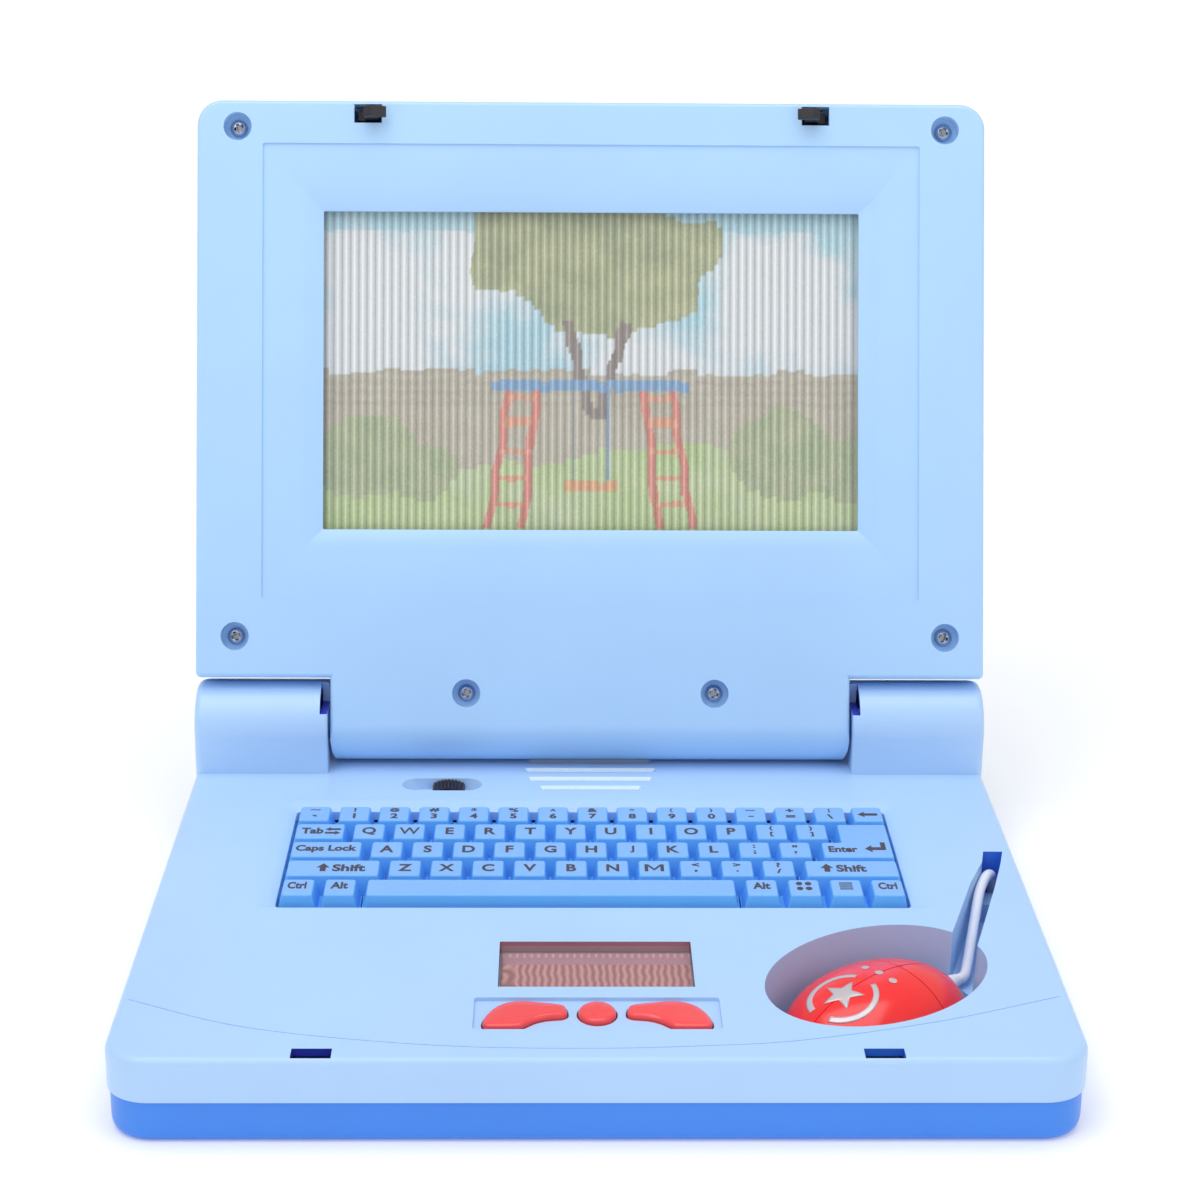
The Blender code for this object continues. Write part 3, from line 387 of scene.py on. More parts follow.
def make(name, shapes, mat=None, frame_=None):
    frame_ = BASE if frame_ is None else frame_
    bm = bmesh.new()
    for verts, faces in shapes:
        vs = [bm.verts.new(frame_ @ Vector(v)) for v in verts]
        for f in faces:
            bm.faces.new([vs[i] for i in f])
    bmesh.ops.recalc_face_normals(bm, faces=bm.faces[:])
    me = bpy.data.meshes.new(name)
    bm.to_mesh(me)
    bm.free()
    if mat is not None:
        me.materials.append(mat)
    ob = bpy.data.objects.new(name, me)
    scene.collection.objects.link(ob)
    return ob


def apply_tool(target, shapes, op="DIFFERENCE", frame_=None, frame=None):
    tool = make("tool_%03d" % len(TOOLS), shapes, None, frame if frame is not None else frame_)
    tool.hide_render = True
    TOOLS.append(tool)
    mod = target.modifiers.new("step_%03d" % len(TOOLS), "BOOLEAN")
    mod.operation = op
    mod.solver = "EXACT"
    mod.object = tool
    return tool


def settle(ob, bevel=0.4, segments=3, angle=32.0, smooth=38.0, weld=0.004):
    """Works the boolean steps into the mesh, tidies it, rounds its edges and shades it smooth."""
    bpy.context.view_layer.update()
    ev = ob.evaluated_get(bpy.context.evaluated_depsgraph_get())
    me = bpy.data.meshes.new_from_object(ev)
    ob.modifiers.clear()
    ob.data = me
    bm = bmesh.new()
    bm.from_mesh(me)
    bmesh.ops.remove_doubles(bm, verts=bm.verts[:], dist=weld * MM)
    bmesh.ops.dissolve_limit(bm, angle_limit=math.radians(0.8), verts=bm.verts[:], edges=bm.edges[:])
    bm.to_mesh(me)
    bm.free()
    me.shade_smooth()
    if bevel:
        mod = ob.modifiers.new("edge_round", "BEVEL")
        mod.width = bevel * MM
        mod.segments = segments
        mod.limit_method = "ANGLE"
        mod.angle_limit = math.radians(angle)
        mod.use_clamp_overlap = True
        mod.harden_normals = False
        mod.miter_outer = "MITER_ARC"
        bpy.context.view_layer.update()
        ev = ob.evaluated_get(bpy.context.evaluated_depsgraph_get())
        me2 = bpy.data.meshes.new_from_object(ev)
        ob.modifiers.clear()
        ob.data = me2
        me = me2
    me.shade_smooth()
    me.set_sharp_from_angle(angle=math.radians(smooth))
    wn = ob.modifiers.new("even_normals", "WEIGHTED_NORMAL")
    wn.keep_sharp = True
    wn.weight = 60
    return ob


def tint(ob, mat, test, frame_=None):
    """Paints light and shade: gives the faces that pass the test another material; centre in millimetres and normal in
    the frame's axes.
    """
    frame_ = BASE if frame_ is None else frame_
    inv = frame_.inverted()
    rot = inv.to_3x3()
    ob.data.materials.append(mat)
    k = len(ob.data.materials) - 1
    for p in ob.data.polygons:
        if test(inv @ p.center, (rot @ p.normal).normalized()):
            p.material_index = k


def stand_for(ob, body, *nodes, slot=None):
    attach(ob, body)
    if nodes:
        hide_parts(*nodes)
    return ob


def plain(points_list, name, mat, frame_, z, thick=0.06):
    """Flat printed shapes: outlines raised by a film's thickness."""
    return make(name, [prism(p, z, z + thick) for p in points_list], mat, frame_)


def text_mesh(body, bold=0.012, size=1.0):
    """Flat outline of a text as a mesh in unit scale, centred, with its width and height."""
    cu = bpy.data.curves.new("legend_text", "FONT")
    cu.body = body
    cu.size = size
    cu.offset = bold
    cu.resolution_u = 5
    cu.align_x = "LEFT"
    tmp = bpy.data.objects.new("legend_text", cu)
    scene.collection.objects.link(tmp)
    bpy.context.view_layer.update()
    me = bpy.data.meshes.new_from_object(tmp.evaluated_get(bpy.context.evaluated_depsgraph_get()))
    vs = [v.co.copy() for v in me.vertices]
    fs = [tuple(p.vertices) for p in me.polygons]
    bpy.data.objects.remove(tmp, do_unlink=True)
    x0, x1 = min(v.x for v in vs), max(v.x for v in vs)
    y0, y1 = min(v.y for v in vs), max(v.y for v in vs)
    cx, cy = (x0 + x1) / 2, (y0 + y1) / 2
    return [(v.x - cx, v.y - cy) for v in vs], fs, x1 - x0, y1 - y0


class Legends:
    """Collects the printed legends of one key piece, then makes them one raised film."""

    def __init__(self):
        self.verts, self.faces = [], []

    def add(self, verts, faces):
        n = len(self.verts)
        self.verts += verts
        self.faces += [tuple(i + n for i in f) for f in faces]

    def text(self, body, x, y, height, width=None, squeeze=0.8, bold=0.036):
        vs, fs, w, h = text_mesh(body, bold)
        sy = height / h
        sx = sy * squeeze if width is None else width / w
        self.add([(x + a * sx, y + b * sy) for a, b in vs], fs)

    def poly(self, pts, x, y, sx=1.0, sy=1.0):
        self.add([(x + a * sx, y + b * sy) for a, b in pts], [tuple(range(len(pts)))])

    def piece(self, name, body, z):
        bm = bmesh.new()
        vs = [bm.verts.new(BASE @ Vector((x, y, z))) for x, y in self.verts]
        for f in self.faces:
            try:
                bm.faces.new([vs[i] for i in f])
            except ValueError:
                pass
        bmesh.ops.remove_doubles(bm, verts=bm.verts[:], dist=2e-6)
        for f in bm.faces:
            f.normal_update()
        flip = [f for f in bm.faces if f.normal.z < 0]
        if flip:
            bmesh.ops.reverse_faces(bm, faces=flip)
        top = bmesh.ops.extrude_face_region(bm, geom=bm.faces[:])
        moved = [g for g in top["geom"] if isinstance(g, bmesh.types.BMVert)]
        for v in moved:
            v.co.z += 0.05 * MM
        bmesh.ops.recalc_face_normals(bm, faces=bm.faces[:])
        me = bpy.data.meshes.new(name)
        bm.to_mesh(me)
        bm.free()
        me.materials.append(M_LEGEND)
        ob = bpy.data.objects.new(name, me)
        scene.collection.objects.link(ob)
        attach(ob, body)
        return ob



# ================================================================== base shells
def base_outline(inset, extra=0.0, seg=12):
    return rrect(-HALF_W + inset + extra, HALF_W - inset - extra, inset + extra, DEPTH - inset - extra,
                 [max(CORNER_R - inset - extra, 0.4)] * 2 + [max(REAR_R - inset - extra, 0.4)] * 2, seg)


def fillet_rings(outline, z0, z1, r, rise, steps=6):
    """Rings up a wall from z0 to z1 that turn over at the top with a fillet of width r and height rise."""
    rings = [flat(outline(0.0), z0), flat(outline(0.0), z1 - rise)]
    for k in range(1, steps + 1):
        a = math.pi / 2 * k / steps
        rings.append(flat(outline(r * (1 - math.cos(a))), z1 - rise + rise * math.sin(a)))
    return rings


def hump_profile(r, foot):
    pts = [(HINGE_Y - r, foot)]
    top = 90 - math.degrees(LID_LEAN)
    for k in range(25):
        a = math.radians(180 + (top - 180) * k / 24)
        pts.append((HINGE_Y + r * math.cos(a), HINGE_Z + r * math.sin(a)))
    pts += [(HINGE_Y + r, HINGE_Z + 0.7107 * r), (HINGE_Y + r, foot)]
    return list(reversed(pts))


def hump(x0, x1, r, foot, e0, e1):
    if e0 <= 0 and e1 <= 0:
        return prism(hump_profile(r, foot), x0, x1, "X")
    st = []
    for k in range(5):
        a = math.pi / 2 * k / 4
        st.append((x0 + e0 * (1 - math.sin(a)), r - e0 * (1 - math.cos(a))))
    st.reverse()
    for k in range(5):
        a = math.pi / 2 * k / 4
        st.append((x1 - e1 * (1 - math.sin(a)), r - e1 * (1 - math.cos(a))))
    # stations run from x0 to x1
    first, last = st[:5], st[5:]
    first = sorted(first, key=lambda s: s[0])
    last = sorted(last, key=lambda s: s[0])
    return loft([[(x, p[0], p[1]) for p in hump_profile(rr, foot)] for x, rr in first + last])


CHANNEL = [(96.0, 63.0), (104.6, 63.0), (107.2, 72.0), (114.9, 98.5), (119.6, 116.0), (121.6, 124.8),
           (115.9, 124.8), (114.4, 117.3), (109.0, 103.6), (99.2, 72.0)]
CHANNEL_DEEP = [(96.0, 63.0), (104.6, 63.0), (107.2, 72.0), (114.9, 98.5), (118.0, 110.0), (111.5, 110.0), (109.0, 103.6), (99.2, 72.0)]
SW_C = (-46.6, 174.7)


def stadium(hx, hy, seg=10):
    return rrect(SW_C[0] - hx, SW_C[0] + hx, SW_C[1] - hy, SW_C[1] + hy, hy - 0.01, seg)


BTN_LEFT = [(-28.6, 17.8), (-20.8, 17.8), (-19.3, 18.7), (-17.0, 21.0), (-15.0, 22.3), (-12.6, 23.1), (-8.1, 23.6),
            (-8.2, 27.0), (-8.8, 29.2), (-14.7, 30.4), (-19.2, 31.2), (-22.0, 30.9), (-24.8, 29.5), (-27.2, 26.6),
            (-28.9, 22.6), (-29.4, 19.4)]


def rounded_outline(pts, rounds=2):
    """Corner-cutting that keeps an outline's shape and softens its corners."""
    for _ in range(rounds):
        out = []
        for i in range(len(pts)):
            p, q = Vector(pts[i]), Vector(pts[(i + 1) % len(pts)])
            out += [tuple(p.lerp(q, 0.25)), tuple(p.lerp(q, 0.75))]
        pts = out
    return pts


BTN_LEFT = rounded_outline(BTN_LEFT, 2)
BTN_RIGHT = [(-x, y) for x, y in reversed(BTN_LEFT)]
BTN_MID = circle(0.0, 25.6, 4.6, 5.2, 40)
BUTTONS = (("left", BTN_LEFT), ("center", BTN_MID), ("right", BTN_RIGHT))


def sweep_line(pts, half, z_lo, z_hi):
    """Thin flat-sided strip along a line of points, for an engraved line."""
    left, right = [], []
    for i, p in enumerate(pts):
        a, b = Vector(pts[max(i - 1, 0)]), Vector(pts[min(i + 1, len(pts) - 1)])
        d = (b - a).normalized()
        n = Vector((-d.y, d.x)) * half
        left.append((p[0] + n.x, p[1] + n.y))
        right.append((p[0] - n.x, p[1] - n.y))
    return prism(right + list(reversed(left)), z_lo, z_hi)


def catmull(ctrl, step):
    """Points about every step mm along a smooth Catmull-Rom curve through the control points."""
    P = [Vector(p) for p in ctrl]
    P = [2 * P[0] - P[1]] + P + [2 * P[-1] - P[-2]]
    fine = []
    for i in range(1, len(P) - 2):
        a, b, c, d = P[i - 1:i + 3]
        for k in range(40):
            t = k / 40
            fine.append(0.5 * ((2 * b) + (c - a) * t + (2 * a - 5 * b + 4 * c - d) * t * t + (3 * b - a - 3 * c + d) * t ** 3))
    fine.append(P[-2])
    total = sum((q - p).length for p, q in zip(fine, fine[1:]))
    n = max(2, round(total / step))
    out, want, run = [fine[0]], total / n, 0.0
    for p, q in zip(fine, fine[1:]):
        d = (q - p).length
        while d > 0 and run + d >= want * len(out) and len(out) < n:
            out.append(p.lerp(q, (want * len(out) - run) / d))
        run += d
    out.append(fine[-1])
    return [tuple(p) for p in out]


def build_top_shell():
    top = make("top_case", [loft(fillet_rings(base_outline, SEAM_Z + GAP, DECK_Z, 2.3, 2.4, 7))], M_DECK)
    apply_tool(top, [hump(HUMP_X, HALF_W - 0.02, HUMP_R, 22.4, 0.7, 2.4), hump(-HALF_W + 0.02, -HUMP_X, HUMP_R, 22.4, 2.4, 0.7)], "UNION")
    apply_tool(top, [loft([flat(base_outline(0, WALL), 5.0), flat(base_outline(0, WALL), DECK_Z - WALL)])])
    apply_tool(top, [hump(HUMP_X + WALL, HALF_W - WALL - 0.1, HUMP_R - WALL, 21.0, 0, 0),
                     hump(-HALF_W + WALL + 0.1, -HUMP_X - WALL, HUMP_R - WALL, 21.0, 0, 0)])
    apply_tool(top, [box(-98, 98, 84.3, 166.3, 18.8, 22.6), box(-28.2, 28.2, 37.2, 67.6, 18.8, 22.6),
                     box(-34, 34, 14.3, 35.2, 20.8, 22.6), box(-62, -31.5, 167.6, 181.6, 18.8, 22.6)]
               + [cyl_z(x, y, 3.2, 6.0, 22.6, 20) for x, y in SCREWS_BASE], "UNION")
    apply_tool(top, [prism(well_ellipse(1.8, 72), 3.4, 22.6)], "UNION")
    apply_tool(top, [prism(offset(CHANNEL, 1.5), 12.1, 22.5)], "UNION")
    apply_tool(top, [prism(offset(CHANNEL_DEEP, 1.5), 6.6, 13.0)], "UNION")
    apply_tool(top, [loft([flat(rrect(-90.5, 90.5, 91.8, 158.8, 1.5, 5), 16.0), flat(rrect(-90.5, 90.5, 91.8, 158.8, 1.5, 5), 21.5),
                           flat(rrect(-97.1, 97.1, 85.2, 165.4, 3.5, 5), 24.5)])])
    apply_tool(top, [box(-26.1, 26.1, 39.2, 65.6, 20.4, 26.0),
                     prism(rrect(-32.1, 32.1, 16.1, 33.2, 0.9, 4), 22.9, 26.0),
                     box(-77.2, -67.0, 1.4, 6.0, 17.0, 26.0), box(67.0, 77.2, 1.4, 6.0, 17.0, 26.0)]
               + [prism(rrect(-w, w, y - 0.8, y + 0.8, 0.79, 5), 20.0, 26.0) for y, w in
                  ((172.0, 15.0), (179.1, 18.7), (186.2, 20.0), (193.3, 18.7), (200.4, 14.8))])
    apply_tool(top, [loft([flat(rrect(-w - 0.1, w + 0.1, y - 0.9, y + 0.9, 0.85, 5), 23.1), flat(rrect(-w - 1.1, w + 1.1, y - 1.5, y + 1.9, 1.2, 5), 24.06)])
                     for y, w in ((172.0, 15.0), (179.1, 18.7), (186.2, 20.0), (193.3, 18.7), (200.4, 14.8))])
    apply_tool(top, [loft([flat(stadium(10.4, 4.5), 20.4), flat(stadium(11.4, 4.62), 21.6), flat(stadium(12.6, 4.85), 24.3)])])
    apply_tool(top, [box(-52.0, -41.5, 173.4, 176.6, 15.0, 23.0)])
    apply_tool(top, [loft([flat(well_ellipse(-1.0, 72), WELL_FLOOR), flat(well_ellipse(0.1, 72), 26.0)])])
    apply_tool(top, [prism(CHANNEL, 13.8, 26.0)])
    apply_tool(top, [prism(CHANNEL_DEEP, 8.2, 20.0)])
    apply_tool(top, [box(115.6, 121.4, 117.8, 124.5, 4.0, 21.0)])
    apply_tool(top, [cyl_x(HINGE_Y, HINGE_Z, TRUNNION_R + GAP, HUMP_X - 1, HUMP_X + WALL + 1),
                     cyl_x(HINGE_Y, HINGE_Z, TRUNNION_R + GAP, -HUMP_X - WALL - 1, -HUMP_X + 1)]
               + [cyl_z(x, y, 1.6, 5.0, 17.0, 16) for x, y in SCREWS_BASE])
    apply_tool(top, [box(-67.3, -64.2, 1.4, 6.2, 17.0, 21.6), box(64.2, 67.3, 1.4, 6.2, 17.0, 21.6)])
    apply_tool(top, [prism(offset(o, 0.75), 18.0, 24.0) for _, o in BUTTONS])
    # small relief pockets at the inner top corners of the humps, and the engraved arc across the palm rest
    apply_tool(top, [box(82.0, 85.4, 182.0, 196.5, 43.4, 52.0), box(-85.4, -82.0, 182.0, 196.5, 43.4, 52.0)])
    arc = catmull([(-122.3, 32.1, 0), (-95.0, 18.8, 0), (-68.0, 11.8, 0), (-34.9, 7.1, 0), (-2.1, 6.1, 0), (25.0, 7.3, 0), (51.2, 10.2, 0), (88.0, 20.2, 0), (121.9, 33.9, 0)], 4.0)
    apply_tool(top, [sweep_line([(p[0], p[1]) for p in arc], 0.16, 23.78, 24.6)])
    settle(top, 0.32, 2, 34.0)
    # painted bounce light on the walls of the mouse well and the cord channel
    tint(top, M_WELL_BOUNCE, lambda c, n: (c.z < 23.6 and n.z < 0.5 and 42 < c.x < 108 and 18 < c.y < 122))
    # painted shade inside the latch slots and the cord hole
    tint(top, M_SHADE_DEEP, lambda c, n: -77.6 < c.x < -66.6 and 1.2 < c.y < 6.3 and c.z < 23.75 and n.z < 0.6)
    tint(top, M_SHADE_SOFT, lambda c, n: 66.6 < c.x < 77.6 and 1.2 < c.y < 6.3 and c.z < 23.75 and n.z < 0.6)
    tint(top, M_SHADE_SOFT, lambda c, n: 115.3 < c.x < 121.7 and 117.0 < c.y < 124.8 and 4.0 < c.z < 23.6 and n.z < 0.6)
    # painted shade and painted reflection on the trackpad recess walls
    tint(top, M_TRAY_SHADE, lambda c, n: -26.6 < c.x < 26.6 and 38.8 < c.y < 66.0 and 19.0 < c.z < 23.78 and abs(n.z) < 0.6)
    # painted shade in the small pockets at the inner tops of the humps
    tint(top, M_SHADE_DEEP, lambda c, n: 82.8 < abs(c.x) < 86.0 and 182.0 < c.y < 197.0 and 43.0 < c.z < 49.6 and abs(n.x) < 1.1 and (abs(n.x) > 0.9 or n.z > 0.9) and c.z < 49.0)
    # painted highlight on the front-facing edges of the speaker slots
    tint(top, M_EDGE_HIGHLIGHT, lambda c, n: abs(c.x) < 21.5 and 170.0 < c.y < 203.0 and c.z > 23.0 and n.y < -0.3 and n.z > 0.2)
    return stand_for(top, "base", "base_top_shell", slot="pale_blue_plastic")


def build_bottom_shell():
    low = make("bottom_case", [loft([flat(base_outline(3.6), 0.0), flat(base_outline(2.4), 0.2), flat(base_outline(1.6), 0.75), flat(base_outline(1.05), 1.6),
                                     flat(base_outline(0.75), 2.7), flat(base_outline(0.7), 3.6), flat(base_outline(0.7), SEAM_Z)])], M_DEEP)
    apply_tool(low, [loft([flat(base_outline(0.7, WALL), 2.2), flat(base_outline(0.7, WALL), 14.0)])])
    apply_tool(low, [box(-115.5, -50.5, 17.5, 70.5, 0.5, 19.2)]
               + [cyl_z(x, y, 4.6, 0.5, 5.7, 20) for x, y in SCREWS_BASE]
               + [cyl_z(x, y, 2.5, 1.5, 10.2, 14) for x, y in ((-80, 99), (80, 99), (-80, 151), (80, 151), (-36, 25), (36, 25))], "UNION")
    apply_tool(low, [box(-52.0, -44.0, 39.0, 49.0, 1.0, 4.2)], "UNION")
    apply_tool(low, [box(-114.0, -52.0, 19.0, 69.0, -1.0, 17.7)]
               + [cyl_z(x, y, 3.1, -1.0, 2.6, 24) for x, y in SCREWS_BASE])
    apply_tool(low, [box(-53.0, -45.7, 40.7, 47.3, -1.0, 2.0)] + [cyl_z(x, y, 1.6, 0.0, 7.0, 16) for x, y in SCREWS_BASE])
    apply_tool(low, [cyl_z(-48.9, 44.0, 1.3, 1.0, 6.0, 16)])
    settle(low, 0.3, 2, 34.0)
    return stand_for(low, "base", "base_bottom_shell", slot="deep_blue_plastic")


def build_battery_door():
    d = make("battery_cover", [loft([flat(rrect(-113.7, -52.3, 19.3, 68.7, 0.6, 4), 0.2), flat(rrect(-113.7, -52.3, 19.3, 68.7, 0.6, 4), 1.7)])], M_DEEP)
    apply_tool(d, [box(-54.0, -46.0, 41.0, 47.0, 0.2, 1.7)], "UNION")
    apply_tool(d, [cyl_z(-48.9, 44.0, 1.3, -1.0, 3.0, 20)])
    apply_tool(d, [cyl_z(-48.9, 44.0, 2.35, -1.0, 1.0, 24)])
    # grip ribs moulded into the outside
    apply_tool(d, [prism(rrect(-108.0 + 3.0 * k, -106.6 + 3.0 * k, 34.0, 54.0, 0.6, 3), -0.4, 0.55) for k in range(5)])
    settle(d, 0.22, 2, 34.0)
    return stand_for(d, "battery_door", "battery_door", slot="deep_blue_plastic")



# ================================================================== keys
def row_front(row):
    return ROW5_FRONT + ROW_PITCH * (5 - row)


def cap(x0, x1, y0, y1, foot=18.2):
    """Key cap: sloping skirt, softly rounded corners, top with a small edge radius and a faint dish."""
    def ring(d, e, z, r):
        return [(p[0], p[1], z) for p in rrect(x0 - d, x1 + d, y0 - e, y1 + e, r, 4)]
    rise = KEY_TOP_Z - foot
    rings = [ring(1.25, 0.95, foot, 0.6), ring(1.25 * 0.5 / rise, 0.95 * 0.5 / rise, KEY_TOP_Z - 0.5, 0.85)]
    for k in range(1, 5):
        a = math.pi / 2 * k / 4
        rings.append(ring(-0.45 * (1 - math.cos(a)) + 0.08, -0.45 * (1 - math.cos(a)) + 0.06, KEY_TOP_Z - 0.5 + 0.5 * math.sin(a), 0.85))
    rings.append(ring(-0.85, -0.85, KEY_TOP_Z - 0.03, 0.7))
    return loft(rings)


def key_piece(name, body, cad, tops, row, web, legends=None):
    y0 = row_front(row)
    y1 = y0 + KEY_DEPTH
    ob = make(name, [box(web[0], web[1], y0 - 1.1, y1 + 1.1, 17.0, 18.4)], M_KEY)
    apply_tool(ob, [cap(a, b, y0, y1) for a, b in tops], "UNION")
    settle(ob, 0.0)
    # painted sheen: the upward faces of the key tops get the lighter copy of the key plastic
    tint(ob, M_KEYTOP_SHEEN, lambda c, n: n.z > 0.93 and c.z > KEY_TOP_Z - 0.6)
    stand_for(ob, body, cad, slot="key_blue_plastic")
    if legends:
        lg = Legends()
        legends(lg, y0 + KEY_DEPTH / 2)
        lg.piece(name + "_legends", body, KEY_TOP_Z - 0.03)
    return ob


def run_of(x0, n, w=8.95, pitch=KEY_PITCH):
    return [(x0 + pitch * k, x0 + pitch * k + w) for k in range(n)]


ARROW_UP = [(-1.0, -2.0), (1.0, -2.0), (1.0, 0.2), (2.2, 0.2), (0.0, 2.6), (-2.2, 0.2), (-1.0, 0.2)]
ARROW_LEFT = [(-3.2, 0.0), (-1.0, -1.7), (-1.0, -0.75), (3.2, -0.75), (3.2, 0.75), (-1.0, 0.75), (-1.0, 1.7)]
ARROW_ENTER = [(-3.2, -0.6), (-1.0, -2.2), (-1.0, -1.2), (3.4, -1.2), (3.4, 2.4), (1.9, 2.4), (1.9, 0.1), (-1.0, 0.1), (-1.0, 1.0)]


def capital_m(lg, cx, cy, h=4.7, w=5.6):
    """The letter M from four straight strokes."""
    a, b, s = w / 2, h / 2, 1.0
    lg.poly([(-a, -b), (-a + s, -b), (-a + s, b), (-a, b)], cx, cy)
    lg.poly([(a - s, -b), (a, -b), (a, b), (a - s, b)], cx, cy)
    lg.poly([(-a + s + 0.02, b), (-a + s + 0.02, b - 1.3), (-0.02, -b + 0.5), (-0.02, -b + 1.9)], cx, cy)
    lg.poly([(a - s - 0.02, b), (0.02, -b + 1.9), (0.02, -b + 0.5), (a - s - 0.02, b - 1.3)], cx, cy)


def letters(x0, chars):
    def put(lg, cy):
        for k, ch in enumerate(chars):
            cx = x0 + KEY_PITCH * k + 4.475
            if ch == "M":
                capital_m(lg, cx, cy + 0.2)
            elif len(ch) == 1 and ch.isalpha():
                lg.text(ch, cx, cy + (0.0 if ch == "Q" else 0.2), 5.5 if ch == "Q" else 4.8, None, 0.84, 0.010 if ch in "MW" else 0.03)
            else:
                up, low = ch[0], ch[1]
                hu = {"{": 3.0, "}": 3.0, ":": 2.2, '"': 1.5, "<": 2.4, ">": 2.4, "?": 3.0}.get(up, 2.6)
                hl = {"[": 3.2, "]": 3.2, ";": 2.7, "'": 1.5, ",": 1.5, ".": 0.8, "/": 3.0}.get(low, 2.6)
                lg.text(up, cx, cy + 2.3, hu, None, 1.0)
                lg.text(low, cx, cy - 1.9, hl, None, 1.0)
    return put


def number_row(lg, cy):
    top = "~!@#$%^&*()_+|"
    low = "`1234567890-=\\"
    for k in range(14):
        cx = NUM_X + KEY_PITCH * k + 4.475
        hu = {"~": 0.9, "_": 0.5, "^": 1.6, "*": 1.9, "+": 2.4}.get(top[k], 2.8)
        hl = {"`": 1.1, "-": 0.7, "=": 1.6, "\\": 3.2}.get(low[k], 3.6)
        lg.text(top[k], cx, cy + 2.7, hu, 3.0 if top[k] in "@#%&" else (3.0 if top[k] in "~_" else None), 1.0)
        lg.text(low[k], cx, cy - 1.7, hl, None, 0.95 if low[k].isdigit() else 1.2, 0.035)


NUM_X, QW_X, AS_X, ZX_X = -88.8, -71.4, -65.3, -59.2


